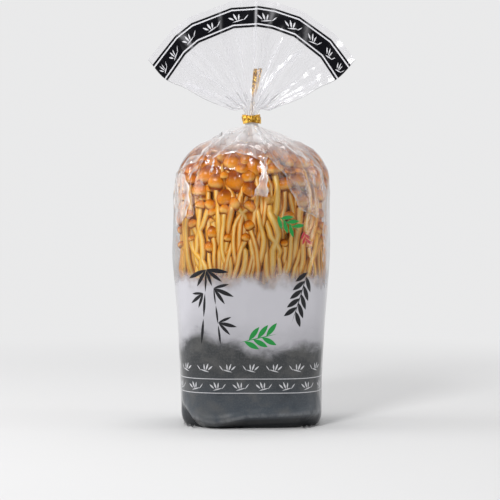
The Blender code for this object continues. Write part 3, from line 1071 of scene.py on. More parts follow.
# The streaks whiten the ruffle partly as creased film and partly as painted highlights of the lamps.
STREAKS = (
    Streak(0.04, 0.04, 33.0, 78.0, 0.8, 0.9),
    Streak(0.32, 0.55, 14.0, 56.0, 1.9, 1.0),
    Streak(0.24, 0.325, 18.0, 57.0, 1.0, 0.9),
    Streak(-0.88, -0.95, 30.0, 50.0, 3.2, 0.9),
    Streak(-0.55, -0.72, 12.0, 46.0, 1.1, 0.55),
    Streak(-0.30, -0.42, 14.0, 52.0, 0.9, 0.45),
    Streak(-0.12, -0.16, 24.0, 60.0, 0.8, 0.45),
    Streak(0.62, 0.78, 14.0, 40.0, 1.3, 0.6),
    Streak(0.85, 0.93, 22.0, 52.0, 1.4, 0.5),
    Streak(0.12, 0.13, 10.0, 34.0, 0.8, 0.6),
    Streak(-0.70, -0.86, 16.0, 34.0, 1.0, 0.5),
    Streak(0.44, 0.46, 30.0, 64.0, 0.7, 0.4),
    Streak(-0.60, -0.67, 60.0, 77.0, 2.6, 0.40),
    Streak(0.15, 0.20, 60.0, 77.0, 2.2, 0.34),
    Streak(0.54, 0.50, 58.0, 77.0, 3.0, 0.30),
    Streak(-0.30, -0.27, 60.0, 76.0, 1.6, 0.26),
)


@dataclass
class RuffleFilm:
    """The bag's mouth above the tie: two layers of film that fan out and fold as one."""

    form: BagForm = FORM
    reach: float = 79.0 * MM
    half_angle: float = math.radians(66.3)
    tip_angle: float = math.radians(60.0)
    opens_over: float = 14.0 * MM
    gap: float = 2.0 * MM
    fold_height: float = 3.6 * MM
    crumple: float = 1.0 * MM
    creases: tuple[float, ...] = (-1.0, -0.70, -0.53, -0.17, 0.06, 0.20, 0.42, 0.74, 1.0)
    columns: int = 680
    rows: int = 120
    finish: FilmFinish = FilmFinish(
        "ruffle_film", tint=(0.99, 0.987, 0.995), haze_colour=(0.90, 0.895, 0.93), crinkled=0.18,
        gloss_roughness=0.13, print_roughness=0.16, gloss_facing=0.028,
    )
    artwork: BorderPrint = BorderPrint()

    def spread(self, angle: Array) -> Array:
        """The place in the fan of each angle round the neck, from -1 to 1."""
        folded = np.where(np.abs(angle) <= math.pi / 2, angle, np.sign(angle) * math.pi - angle)
        return 0.5 * np.sin(angle) + folded / math.pi

    def streaked(self, reach: Array, spread: Array) -> Array:
        """How sharply the streaks crease each point.

        Args:
            reach: The points' distances along the film from the tie.
            spread: Their places in the fan, from -1 to 1.

        Returns:
            The crease at each point, 0 to 1.
        """
        total = np.zeros_like(reach)
        for streak in STREAKS:
            low, high = streak.low * MM, streak.high * MM
            share = np.clip((reach - low) / (high - low), 0.0, 1.0)
            away = np.abs(spread - blend(streak.start, streak.end, share)) * self.half_angle * reach
            ends = smooth_step(low - 4.0 * MM, low + 4.0 * MM, reach)
            ends = ends * smooth_step(high + 3.0 * MM, high - 3.0 * MM, reach)
            crease = bell(away, streak.width * MM * (0.45 + 0.55 * share))
            total = np.maximum(total, streak.white * ends * crease)
        return total

    def crumpled(self, across: Array, up: Array) -> Array:
        """The soft crumple that both layers share, from their places on the fan."""
        spots = np.stack([across / (15.0 * MM), up / (19.0 * MM), np.full_like(across, 3.7)], axis=-1)
        found = sampled(lambda spot: noise.noise(spot) + 0.35 * noise.noise(spot * 2.6), spots)
        return self.crumple * found[..., 0]

    def points(self, reach: Array, angle: Array) -> Array:
        """Places points on the ruffle.

        Args:
            reach: Distances along the film from the tie.
            angle: Angles round the neck from -pi to pi, 0 at the middle of the front.

        Returns:
            An array of points.
        """
        spread = self.spread(angle)
        flare = blend(self.half_angle, self.tip_angle, smooth_step(0.70 * self.reach, self.reach, reach))
        flare = flare + np.radians(1.1) * np.sin(reach / (6.5 * MM) + 3.0 * np.sign(spread)) * spread**4
        slope = flare * spread
        creases = np.array(self.creases)
        numbers = np.arange(len(creases))
        index = np.clip(np.searchsorted(creases, spread, side="right") - 1, 0, len(creases) - 2)
        start, end = creases[index] * flare, creases[index + 1] * flare
        share = np.clip((slope - start) / (end - start), 0.0, 1.0)
        straight = reach * np.cos((end - start) / 2.0) / np.cos(slope - (start + end) / 2.0)
        peaks = np.where(numbers % 2 == 0, 1.0, -1.0) * (0.48 + 0.24 * np.cos(2.3 * numbers + 0.8))
        zigzag = blend(peaks[index], peaks[index + 1], share)
        opened = smooth_step(4.0 * MM, self.opens_over, reach)
        pucker = np.sin(34.0 * slope + 1.3) + 0.6 * np.sin(57.0 * slope)
        wave = self.fold_height * zigzag * reach / self.reach
        wave = wave + 0.55 * MM * pucker * np.exp(-reach / (26.0 * MM))
        wave = wave + self.crumpled(straight * np.sin(slope), straight * np.cos(slope)) * opened
        wave = wave + 0.7 * MM * self.streaked(reach, spread)
        layer = self.gap * signed_power(np.cos(angle), 0.35)
        neck = self.form.neck_radius + 0.25 * np.maximum(reach - 4.0 * MM, 0.0)
        neck = neck + 0.3 * MM * np.cos(17.0 * angle)
        x = blend(neck * np.sin(angle), straight * np.sin(slope), opened)
        y = -blend(neck * np.cos(angle), wave + layer, opened)
        z = self.form.tie_height + blend(reach, straight * np.cos(slope), opened)
        return np.stack([x, y, z], axis=-1)

    def milky(self, graph: Graph, place: Socket) -> tuple[Socket, Socket]:
        """The ruffle's haze, in streaks that run from the tie, and its fine creases."""
        _, up, _ = graph.split(place)
        streaks = graph.rise(graph.noise(place, (120.0, 7.0), 3.0, 0.55), 0.48, 0.76, 0.26)
        near = graph.rise(up, 0.030, 0.004, 0.30)
        haze = graph.math("ADD", graph.math("ADD", streaks, near), 0.04, clamp=True)
        broken = graph.rise(graph.noise(place, (60.0, 30.0), 2.0), 0.46, 0.66)
        lines = crease_lines(graph, place, (46.0, 9.0), 0.014)
        return haze, graph.times(lines, broken, graph.rise(up, 0.076, 0.050, 0.34))

    def build(self) -> None:
        """Makes and dresses the ruffle."""
        reach_rows = self.reach * np.linspace(0.0, 1.0, self.rows) ** 1.15
        angles = TURN * np.arange(self.columns) / self.columns - math.pi
        reach, angle = np.meshgrid(reach_rows, angles, indexing="ij")
        round_way = self.form.flat_width * np.linspace(-1.0, 1.0, self.columns + 1)
        places = np.stack(np.meshgrid(round_way, reach_rows), axis=-1)
        # Painted highlight in part: the streaks whiten the film, less on the back layer.
        whitening_and_shade = self.streaked(reach, self.spread(angle)) * np.where(np.cos(angle) > 0.0, 1.0, 0.35)
        grid = FilmGrid(self.points(reach, angle), places, whitening_and_shade, closed=True)
        make_film("film_ruffle", [grid], self.finish, self.artwork, self.milky)


def select_only(piece: Piece | None) -> None:
    """Leaves one object selected and active, or none selected."""
    bpy.ops.object.select_all(action="DESELECT")
    if piece:
        piece.select_set(True)
        bpy.context.view_layer.objects.active = piece


def cut_tube(sides: int, radius: float, span: Pair, cuts: Iterable[float]) -> Piece:
    """Models an upright tube by hand operations: a cylinder with open ends, cut round.

    Args:
        sides: How many sides it has.
        radius: Its radius.
        span: The heights of its ends.
        cuts: The heights of the cuts.

    Returns:
        The tube.
    """
    select_only(None)
    bpy.ops.mesh.primitive_cylinder_add(
        vertices=sides, radius=radius, depth=span[1] - span[0], end_fill_type="NOTHING",
        location=(0, 0, (span[0] + span[1]) / 2.0),
    )
    tube = bpy.context.active_object
    bpy.ops.object.transform_apply(location=True, rotation=False, scale=False)
    bpy.ops.object.mode_set(mode="EDIT")
    for height in cuts:
        bpy.ops.mesh.select_all(action="SELECT")
        bpy.ops.mesh.bisect(plane_co=(0, 0, height), plane_no=(0, 0, 1))
    bpy.ops.object.mode_set(mode="OBJECT")
    return tube


@dataclass(frozen=True)
class CapForm:
    """A cap's proportions, in shares of its radius."""

    rise: float
    hang: float
    pinch: float


class CapKind(Enum):
    """The caps' forms, from a closed young one to an opened one."""

    BUTTON = CapForm(rise=1.05, hang=0.66, pinch=0.14)
    BEAN = CapForm(rise=1.55, hang=0.95, pinch=0.24)
    DOME = CapForm(rise=0.98, hang=0.42, pinch=0.08)
    OPEN = CapForm(rise=0.66, hang=0.22, pinch=0.0)


BUTTON, BEAN, DOME, OPEN = CapKind


def taken(master: Piece) -> Model:
    """The vertices and faces of a model, which isn't kept itself."""
    places = np.empty(len(master.data.vertices) * 3)
    master.data.vertices.foreach_get("co", places)
    faces = [list(face.vertices) for face in master.data.polygons]
    bpy.data.objects.remove(master)
    return places.reshape(-1, 3), faces


@dataclass(frozen=True)
class Grade:
    """How finely mushrooms are modelled: the few that stand in front, or the many behind."""

    segments: int
    rings: int
    sides: int
    spans: int
    cut: float = 0.30

    def cap(self, kind: CapKind) -> Model:
        """Models a cap of radius 1 by hand operations: a cut ball whose underside is set in twice."""
        select_only(None)
        bpy.ops.mesh.primitive_uv_sphere_add(segments=self.segments, ring_count=self.rings, radius=1.0)
        cap = bpy.context.active_object
        bpy.ops.object.mode_set(mode="EDIT")
        bpy.ops.mesh.select_all(action="SELECT")
        bpy.ops.mesh.bisect(plane_co=(0, 0, -self.cut), plane_no=(0, 0, 1), clear_inner=True, use_fill=True)
        for thickness, lift in ((0.28, 0.20), (0.30, 0.08)):
            bpy.ops.mesh.inset(thickness=thickness, depth=0.0)
            bpy.ops.transform.translate(value=(0, 0, lift))
        bpy.ops.object.mode_set(mode="OBJECT")
        places, faces = taken(cap)
        below = np.minimum(places[:, 2:] / self.cut, 0.0)
        places[:, :2] *= 1.0 + below * kind.value.pinch
        places[:, 2:] = np.maximum(places[:, 2:], 0.0) * kind.value.rise + below * kind.value.hang
        return places, faces

    def stem(self) -> Model:
        """Models a stem of radius 1 and height 1, from which copies are bent."""
        cuts = [(cut / self.spans) ** 0.7 for cut in range(1, self.spans)]
        return taken(cut_tube(self.sides, 1.0, (0.0, 1.0), cuts))


@dataclass
class Mushroom:
    """One mushroom: its route, from root to cap, and its growth. A held one keeps its place."""

    route: Array
    stem_radius: float
    cap_radius: float
    kind: CapKind
    lean: Vector
    tone: float
    held: bool = False

    def root_turn(self) -> float:
        """The angle of its root round the bunch, from 0 to a full turn."""
        return math.atan2(self.route[0][0], -self.route[0][1]) % TURN


@dataclass(frozen=True)
class Layer:
    """One ring of mushrooms, counted from the film inwards. Lengths are millimetres."""

    count: int
    depth: float
    low_share: float
    low_heights: Pair
    high_heights: Pair
    cap_radii: Pair


@dataclass(frozen=True)
class FrontOne:
    """A mushroom that shows at the front, in millimetres: its cap, where its stem passes lower,
    how far the stem bows to the side between root and cap, and how thick it is."""

    across: float
    up: float
    radius: float
    kind: CapKind
    via_across: float
    via_up: float
    tone: float
    bow: float = 0.0
    thick: float = 1.0


FRONT_ROW = (
    (-10.1, 136.5, 3.6, BUTTON, -2.9, 112.0, 0.75, 2.5, 0.95),
    (-3.3, 134.6, 3.4, BUTTON, 1.6, 112.0, 0.35, 2.0, 0.8),
    (4.4, 142.0, 4.4, DOME, 11.8, 119.0, 0.85, 3.5, 1.15),
    (-23.3, 128.3, 3.3, BEAN, -27.5, 108.0, 0.25),
    (-27.9, 119.7, 3.1, BEAN, -27.0, 101.0, 0.45),
    (-24.6, 141.3, 3.5, DOME, -14.5, 112.6, 0.80, 5.0, 1.35),
    (-26.2, 146.9, 3.7, BUTTON, -32.4, 124.0, 0.60, -3.0),
    (-33.4, 146.2, 3.5, DOME, -31.0, 118.6, 0.70, -2.5, 1.2),
    (-42.9, 140.7, 3.1, BUTTON, -40.8, 118.0, 0.90, -2.0),
    (-46.5, 129.1, 2.8, BUTTON, -35.5, 104.7, 0.80, 4.0),
    (-46.4, 119.5, 2.6, BUTTON, -33.9, 101.0, 0.75, 3.0, 1.1),
    (-41.3, 124.4, 2.7, DOME, -26.8, 108.8, 0.65, -3.5, 1.1),
    (-18.8, 125.4, 2.7, BUTTON, -25.2, 103.9, 0.85, 3.0),
    (-16.7, 143.9, 3.5, BUTTON, -13.3, 121.0, 0.90, -3.0),
    (-13.9, 173.0, 7.2, BUTTON, -13.0, 139.0, 0.30),
    (-5.5, 179.6, 6.9, DOME, -8.0, 145.0, 0.20),
    (-11.2, 163.4, 7.3, BUTTON, -10.5, 132.0, 0.06, 2.0),
    (2.9, 169.6, 5.6, BEAN, 1.6, 140.0, 0.30),
    (16.5, 170.2, 6.7, OPEN, 15.9, 146.0, 0.98, 0.0, 1.2),
    (20.8, 160.6, 5.0, BUTTON, 21.0, 134.0, 0.35),
    (20.8, 180.0, 5.9, BUTTON, 20.0, 146.0, 0.15),
    (37.0, 171.6, 6.0, DOME, 35.0, 138.0, 0.80, 3.0),
    (32.2, 163.8, 6.1, DOME, 30.0, 132.0, 0.55, -3.0),
    (45.0, 140.2, 3.6, BUTTON, 36.2, 114.0, 0.30, -3.5, 1.1),
    (43.7, 151.0, 4.4, DOME, 31.4, 124.0, 0.50, 3.0, 1.15),
    (41.1, 129.0, 3.4, DOME, 33.3, 104.0, 0.90, 3.0),
    (46.4, 124.0, 2.8, BUTTON, 41.0, 101.0, 0.60, -2.0),
    (35.0, 121.0, 2.7, BUTTON, 41.0, 100.0, 0.75, 2.0),
    (-31.4, 167.0, 6.9, BUTTON, -31.0, 134.0, 0.10),
    (-23.6, 161.6, 5.6, BUTTON, -24.0, 130.0, 0.45, 2.0),
    (-23.2, 177.0, 6.6, DOME, -22.0, 139.0, 0.75),
    (-38.0, 174.5, 5.9, DOME, -36.0, 142.0, 0.20),
    (-43.0, 163.0, 5.4, DOME, -42.0, 132.0, 0.35),
    (9.0, 149.2, 6.4, DOME, 12.5, 117.0, 0.92, 3.0, 1.2),
    (13.3, 127.7, 3.3, BUTTON, 17.0, 103.0, 0.70, -2.0),
    (-6.3, 146.2, 4.4, DOME, -8.0, 124.0, 0.50, -2.0),
    (18.5, 104.0, 4.2, OPEN, 14.5, 88.0, 0.95),
    (9.8, 160.4, 6.0, BUTTON, 7.0, 128.0, 0.15),
    (-1.0, 158.4, 6.1, DOME, -5.5, 130.0, 0.05, -2.0),
    (-37.0, 154.0, 5.8, DOME, -36.0, 127.0, 0.45, 2.0),
    (31.4, 150.4, 5.6, BUTTON, 25.0, 119.0, 0.60, 3.0, 1.2),
    (29.5, 177.0, 6.2, DOME, 27.0, 143.0, 0.30),
    (-17.2, 152.8, 5.9, BUTTON, -19.0, 124.0, 0.20, 3.0),
    (24.5, 139.0, 3.8, DOME, 18.5, 110.0, 0.80, 3.0, 1.15),
    (1.0, 151.5, 5.0, DOME, 4.0, 124.0, 0.70, 2.0, 1.1),
    (-30.5, 136.0, 3.4, BUTTON, -20.0, 106.0, 0.85, 4.0, 1.25),
    (-36.4, 134.0, 3.1, BUTTON, -38.5, 106.0, 0.65, 3.0),
    (22.6, 122.0, 2.9, BUTTON, 27.0, 99.0, 0.55, -2.0),
    (43.0, 146.0, 3.4, BUTTON, 24.0, 105.0, 0.85, 1.0, 0.85),
    (38.5, 136.5, 3.0, BUTTON, 20.5, 99.0, 0.70, -1.5, 0.8),
    (46.0, 132.0, 2.8, BUTTON, 31.0, 99.0, 0.80, 1.5, 0.8),
    (-6.0, 126.0, 3.0, BUTTON, -16.5, 100.0, 0.60, 2.0),
    (42.6, 162.5, 5.2, BUTTON, 40.0, 133.0, 0.40, 2.0),
    (6.5, 178.0, 5.6, BUTTON, 7.0, 148.0, 0.12),
    (-46.0, 152.0, 4.0, BUTTON, -43.0, 124.0, 0.50, -2.0),
)


@dataclass(frozen=True)
class MushroomFinish:
    """The moist skin of stems and caps, with painted shade where they turn away from view and a painted
    highlight down the stems. Colours are linear.
    """

    stem_pale: Colour = (0.96, 0.58, 0.085)
    stem_gold: Colour = (0.82, 0.305, 0.012)
    stem_olive: Colour = (0.90, 0.54, 0.014)
    # stem_edge: the deep orange of the stems' fibres and lower parts, also the painted shade where stems and
    # caps turn away from view.
    stem_edge: Colour = (0.54, 0.140, 0.004)
    cap_rim: Colour = (0.92, 0.53, 0.115)
    cap_amber: Colour = (0.83, 0.285, 0.007)
    cap_brown: Colour = (0.29, 0.054, 0.002)
    # The cream of a painted highlight down each stem.
    painted_highlight_cream: Colour = (1.0, 0.83, 0.36)

    def build(self) -> Material:
        """The material. The growth attribute holds tone, part and place along the part."""
        graph = Graph("mushroom_skin")
        tone, part, along = graph.split(graph.socket("Attribute", output="Vector", attribute_name="growth"))
        place = graph.socket("TexCoord", output="Object")
        side = graph.split(place)[0]
        mottle = graph.noise(place, 260.0, 4.0, 0.6)
        fibres = graph.noise(place, (1500.0, 1500.0, 60.0), 3.0, 0.6)
        facing = graph.socket("LayerWeight", {"Blend": 0.45}, "Facing")
        # Painted highlight: a cream line down the middle of each stem where it faces the view, on its upper
        # part.
        ridge = graph.times(graph.rise(facing, 0.17, 0.0, 0.66), graph.rise(along, 0.25, 0.60))
        stem = graph.layered(
            graph.mixed(tone, self.stem_gold, self.stem_pale),
            (graph.rise(side, -0.014, -0.040, 0.55), self.stem_olive),
            (graph.rise(along, 0.70, 0.30, 0.65), self.stem_edge),
            (graph.rise(fibres, 0.42, 0.75, 0.26), self.stem_edge),
            (ridge, self.painted_highlight_cream),
        )
        crown = graph.scaled(mottle, 0.35, graph.scaled(tone, -0.60, along))
        cap = graph.layered(
            self.cap_rim,
            (graph.rise(crown, -0.30, 0.22), self.cap_amber),
            (graph.rise(crown, 0.24, 1.02), self.cap_brown),
        )
        colour = graph.mixed(graph.rise(part, 0.4, 0.6), stem, cap)
        skin = {
            # Painted shade: stems and caps darken to stem_edge where they turn away from view.
            "Base Color": graph.mixed(graph.rise(facing, 0.28, 0.86, 0.94), colour, self.stem_edge),
            "Roughness": graph.scaled(mottle, 0.12, graph.scaled(part, -0.12, 0.26)),
            "Specular IOR Level": 0.34,
            "Normal": graph.bump(graph.math("ADD", fibres, mottle), 0.35, 0.3 * MM),
        }
        return graph.surface(graph.socket("BsdfPrincipled", skin))


def base_material() -> Material:
    """Matted stems and their pale growing base: painted dark brown as the shade between the stems, cream
    below.
    """
    graph = Graph("matted_base")
    place = graph.socket("TexCoord", output="Object")
    mat = graph.noise(place, 320.0, 5.0, 0.65)
    strands = graph.noise(place, (420.0, 420.0, 40.0), 3.0, 0.6)
    # Painted shade: the packed inner stems are dark brown to stand for the deep shade between the mushrooms.
    stems = graph.mixed(strands, (0.12, 0.034, 0.004), (0.36, 0.130, 0.018))
    cream = graph.mixed(mat, (0.50, 0.34, 0.18), (0.80, 0.66, 0.44))
    skin = {
        "Base Color": graph.mixed(graph.rise(graph.split(place)[2], 0.028, 0.040), cream, stems),
        "Roughness": 0.8,
        "Normal": graph.bump(mat, 0.6, 0.8 * MM),
    }
    return graph.surface(graph.socket("BsdfPrincipled", skin))


@dataclass
class MushroomBunch:
    """The bunch: mushrooms in rings round a packed core, all from one matted base."""

    form: BagForm = FORM
    seed: int = 23
    steps: int = 26
    root_height: float = 27.0 * MM
    root_radius: float = 35.0 * MM
    rounds: int = 24
    sectors: int = 4
    front_grade: Grade = Grade(16, 10, 10, 20)
    plain_grade: Grade = Grade(10, 6, 6, 10)
    layers: tuple[Layer, ...] = (
        Layer(50, 3.0, 0.36, (116.0, 150.0), (152.0, 174.0), (3.2, 5.4)),
        Layer(58, 7.5, 0.34, (120.0, 152.0), (154.0, 178.0), (3.6, 6.2)),
        Layer(50, 13.0, 0.20, (138.0, 156.0), (158.0, 182.0), (5.0, 7.4)),
        Layer(40, 20.0, 0.0, (150.0, 160.0), (160.0, 184.0), (5.6, 7.8)),
        Layer(26, 29.0, 0.0, (150.0, 160.0), (168.0, 187.0), (5.0, 7.0)),
        Layer(12, 38.0, 0.0, (150.0, 160.0), (172.0, 189.0), (5.0, 6.8)),
    )
    front_gaps: Pair = (0.7, 0.45)
    base_outline: Line = (
        (0.0, 150.0), (10.0, 148.0), (16.0, 138.0), (19.5, 110.0), (19.5, 70.0), (22.0, 46.0),
        (30.0, 37.5), (38.0, 31.0), (40.5, 22.0), (40.6, 10.0), (39.5, 4.0), (36.5, 1.6), (0.0, 1.6),
    )
    finish: MushroomFinish = MushroomFinish()
    caps: dict = field(default_factory=dict)
    stems: dict = field(default_factory=dict)

    def front_row(self, draw: random.Random) -> list[Mushroom]:
        """The mushrooms that show at the front, each through its own two places."""
        made = []
        for one in (FrontOne(*row) for row in FRONT_ROW):
            radius, cap_x, cap_z = one.radius * MM, one.across * MM, one.up * MM
            via_x, via_z = one.via_across * MM, one.via_up * MM
            tip = (cap_x, self.form.front_depth(cap_x, cap_z, 1.2 * MM + 0.9 * radius), cap_z)
            via = (via_x, self.form.front_depth(via_x, via_z, 3.2 * MM), via_z)
            root = (0.55 * via_x, -0.60 * self.root_radius, self.root_height)
            share = np.linspace(0.0, 1.0, self.steps)
            bend = (via_z - self.root_height) / (cap_z - self.root_height)
            route = route_through((0.0, bend, 1.0), (root, via, tip), share)
            upper = np.clip((share - 0.75 * bend) / (1.0 - 0.75 * bend), 0.0, 1.0)
            route[:, 0] += 2.1 * one.bow * MM * np.sin(math.pi * upper)
            sway = 0.35 * (cap_x - via_x) / (cap_z - via_z) + 0.45 * math.sin(7.0 * one.across + one.up)
            high = float(smooth_step(146.0, 162.0, one.up))
            nod = -0.25 - (0.35 + 0.35 * math.sin(5.0 * one.across)) * high
            stem_radius = draw.uniform(1.7, 2.2) * MM * one.thick * (0.85 + 0.05 * one.radius)
            lean = Vector((sway, nod, 1.0)).normalized()
            made.append(Mushroom(route, stem_radius, radius, one.kind, lean, one.tone, held=True))
        return made

    def ring_one(self, ring: int, layer: Layer, k: int, draw: random.Random) -> Mushroom | None:
        """One mushroom of a ring.

        Args:
            ring: The ring's number from the film inwards.
            layer: The ring.
            k: The mushroom's number in it.
            draw: The draw for its place and growth.

        Returns:
            The mushroom, or none where the front row stands in its place.
        """
        angle = TURN * (k + 0.5 * (ring % 2) + draw.uniform(-0.3, 0.3)) / layer.count
        if ring < 2 and math.cos(angle) > 0.35 and draw.random() < self.front_gaps[ring]:
            return None
        way = np.array([math.sin(angle), -math.cos(angle), 0.0])
        across = np.array([way[1], -way[0], 0.0])
        low = draw.random() < layer.low_share
        top = draw.uniform(*(layer.low_heights if low else layer.high_heights)) * MM
        radius = draw.uniform(*layer.cap_radii) * MM * (0.85 if low else 1.0)
        inward = max(0.06, 1.0 - layer.depth * MM / self.form.half_width_high)
        root = way * self.root_radius * inward
        root[2] = self.root_height + draw.uniform(-2.0, 2.0) * MM
        drift = angle + draw.uniform(-0.30, 0.30) * (1.5 if low else 1.0)
        tip = np.array([math.sin(drift), -math.cos(drift), 0.0])
        tip = tip * (self.form.half_width(top) - layer.depth * MM)
        tip[2] = top
        root[1] *= self.form.depth_share
        tip[1] *= self.form.depth_share
        knee = (root + tip) / 2.0 + way * draw.uniform(5.0, 12.0) * MM
        knee = knee + across * draw.uniform(-13.0, 13.0) * MM * inward
        neck = blend(root, tip, 0.82) + across * draw.uniform(-8.0, 8.0) * MM
        share = np.linspace(0.0, 1.0, self.steps)
        tilt = Vector(way) * draw.uniform(0.05, 0.6) + Vector(across) * draw.uniform(-0.4, 0.4)
        kinds = (BUTTON, BEAN, DOME) if low else (BUTTON, BEAN, DOME, DOME, OPEN)
        return Mushroom(
            route=route_through((0.0, 0.5, 0.82, 1.0), (root, knee, neck, tip), share),
            stem_radius=draw.uniform(1.35, 2.3) * MM,
            cap_radius=radius,
            kind=draw.choice(kinds),
            lean=(Vector((0, 0, 1)) + tilt).normalized(),
            tone=draw.random() ** (1.0 + 0.5 * ring),
        )

    def plant(self) -> list[Mushroom]:
        """Sets the mushrooms out, the front row first and then ring by ring, with their first routes."""
        draw = random.Random(self.seed)
        made = self.front_row(draw)
        for ring, layer in enumerate(self.layers):
            grown = [self.ring_one(ring, layer, k, draw) for k in range(layer.count)]
            made += [one for one in grown if one]
        return made

    def settle(self, grown: list[Mushroom]) -> None:
        """Pushes stems and caps apart, and keeps them inside the film, a little at a time.

        Args:
            grown: All mushrooms. Their routes are changed.
        """
        paths = np.array([one.route for one in grown])
        radii = np.array([[one.stem_radius] * self.steps for one in grown])
        radii[:, -1] = [0.85 * one.cap_radius for one in grown]
        give = np.repeat([0.15 if one.held else 1.0 for one in grown], self.steps)
        ease = np.array([0.07 if one.held else 0.20 for one in grown])[:, None, None]
        owner = np.repeat(np.arange(len(grown)), self.steps)
        sizes, widest = radii.reshape(-1), float(radii.max())
        for _ in range(self.rounds):
            flat = paths.reshape(-1, 3)
            tree = kdtree.KDTree(len(flat))
            for i, point in enumerate(flat):
                tree.insert(point, i)
            tree.balance()
            push = np.zeros_like(flat)
            for i, point in enumerate(flat):
                if i % self.steps == 0:
                    continue
                for _, j, distance in tree.find_range(point, sizes[i] + widest):
                    overlap = sizes[i] + sizes[j] - distance
                    if j <= i or owner[j] == owner[i] or overlap <= 0.0:
                        continue
                    way = point - flat[j]
                    way[2] *= 0.25
                    shove = way * (overlap / (math.sqrt(way @ way) + 1e-9) / (give[i] + give[j]))
                    push[i] += 0.5 * shove * give[i]
                    push[j] -= 0.5 * shove * give[j]
            paths = (flat + np.clip(push, -1.2 * MM, 1.2 * MM)).reshape(paths.shape)
            paths[:, 1:-1] += ease * (paths[:, :-2] + paths[:, 2:] - 2.0 * paths[:, 1:-1])
            crowd = self.form.crowding(paths, radii + 1.0 * MM)
            shrink = np.minimum(1.0, 1.0 / np.maximum(crowd, 1e-6))
            paths[:, 1:, :2] *= shrink[:, 1:, None]
        for one, path in zip(grown, paths):
            one.route = path

    def bent_stem(self, one: Mushroom) -> tuple[Array, Array]:
        """Bends a copy of the stem's tube along a mushroom's route, on a smooth curve.

        Args:
            one: The mushroom.

        Returns:
            The vertices' places and their share along the stem.
        """
        tube = self.stems[one.held][0]
        share = tube[:, 2]
        spot = share * (self.steps - 1)
        index = np.clip(spot.astype(int), 0, self.steps - 2)
        part = (spot - index)[:, None]
        before, start, end, after = (
            one.route[np.clip(index + step, 0, self.steps - 1)] for step in (-1, 0, 1, 2)
        )
        middle = 0.5 * (
            2.0 * start
            + (end - before) * part
            + (2.0 * before - 5.0 * start + 4.0 * end - after) * part**2
            + (3.0 * start - before - 3.0 * end + after) * part**3
        )
        ahead = (end - start) / np.linalg.norm(end - start, axis=1, keepdims=True)
        side = np.cross(ahead, np.array([0.31, 1.0, 0.17]))
        side = side / np.linalg.norm(side, axis=1, keepdims=True)
        other = np.cross(ahead, side)
        swell = 1.20 - 0.42 * share + 0.10 * np.sin(share * 9.0 + one.tone * 20.0)
        radius = (one.stem_radius * (swell + 0.25 * smooth_step(0.93, 1.0, share)))[:, None]
        return middle + (side * tube[:, :1] + other * tube[:, 1:2]) * radius, share

    def placed_cap(self, one: Mushroom, draw: random.Random) -> tuple[Array, Array]:
        """Sets a copy of the cap's model on a mushroom's stem, and draws both in till the film clears it.

        Args:
            one: The mushroom.
            draw: The draw for the cap's own turn and wobble.

        Returns:
            The vertices' places and their share from rim to crown.
        """
        cap = self.caps[one.kind, one.held][0]
        grow = Vector(one.route[-1] - one.route[-3]).normalized()
        axis = (grow + one.lean * 0.9).normalized()
        turn = axis.to_track_quat("Z", "Y").to_matrix() @ Matrix.Rotation(draw.uniform(0, 6.28), 3, "Z")
        stretch = np.array([draw.uniform(0.90, 1.08), draw.uniform(0.90, 1.08), draw.uniform(0.9, 1.1)])
        rock = 1.0 + 0.06 * np.sin(3.0 * np.arctan2(cap[:, 1], cap[:, 0]) + one.tone * 9.0)
        shape = (cap * stretch * rock[:, None] * one.cap_radius) @ np.array(turn).T
        gap = 1.2 * MM + 2.2 * MM * float(smooth_step(0.130, 0.165, one.route[-1, 2]))
        weight = np.linspace(0.0, 1.0, self.steps)[:, None] ** 2.5
        for _ in range(60):
            if self.form.crowding(shape + one.route[-1], gap).max() < 1.0:
                break
            inward = -one.route[-1] * np.array([1.0, 1.0, 0.0])
            inward = inward / max(float(np.linalg.norm(inward)), 1.0 * MM)
            one.route = one.route + weight * (inward * 0.4 - np.array([0.0, 0.0, 0.3])) * MM
        return shape + one.route[-1], cap[:, 2] / max(cap[:, 2].max(), 1e-6)

    def joined(self, name: str, grown: list[Mushroom], draw: random.Random) -> Piece:
        """Makes one piece of several mushrooms, with the growth attribute.

        Args:
            name: The piece's name.
            grown: The mushrooms in it.
            draw: The draw for the caps.

        Returns:
            The piece.
        """
        places, faces, growth = [], [], []
        offset = 0
        for one in grown:
            cap = self.placed_cap(one, draw)
            parts = ((*self.bent_stem(one), self.stems[one.held][1], 0.0),
                     (*cap, self.caps[one.kind, one.held][1], 1.0))
            for part_places, along, part_faces, part in parts:
                places.append(part_places)
                faces += [[v + offset for v in face] for face in part_faces]
                offset += len(part_places)
                marks = np.array([one.tone, part, 0.0, 1.0]) + along[:, None] * np.array([0.0, 0.0, 1.0, 0.0])
                growth.append(marks)
        piece = linked_mesh(name, np.concatenate(places).tolist(), faces)
        layer = piece.data.attributes.new("growth", "FLOAT_COLOR", "POINT")
        layer.data.foreach_set("color", np.concatenate(growth).astype(np.float32).ravel())
        return piece

    def core(self) -> Piece:
        """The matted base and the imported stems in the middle, as one fluted turned body."""
        sides = 96
        angle = TURN * np.arange(sides) / sides
        rows = []
        for radius, height in reversed(self.base_outline):
            fluted = radius * (1.0 + 0.035 * np.cos(24.0 * angle) * (1.0 if 36.0 < height < 149.0 else 0.3))
            deep = -fluted * np.cos(angle) * self.form.depth_share
            rows.append(np.stack([fluted * np.sin(angle), deep, np.full(sides, height)], axis=-1) * MM)
        faces = ruled_faces(len(rows), sides, closed=True).tolist()
        piece = linked_mesh("bunch_base", np.concatenate(rows).tolist(), faces)
        work = bmesh.new()
        work.from_mesh(piece.data)
        bmesh.ops.remove_doubles(work, verts=work.verts, dist=1e-6)
        bmesh.ops.recalc_face_normals(work, faces=work.faces)
        work.to_mesh(piece.data)
        work.free()
        return piece

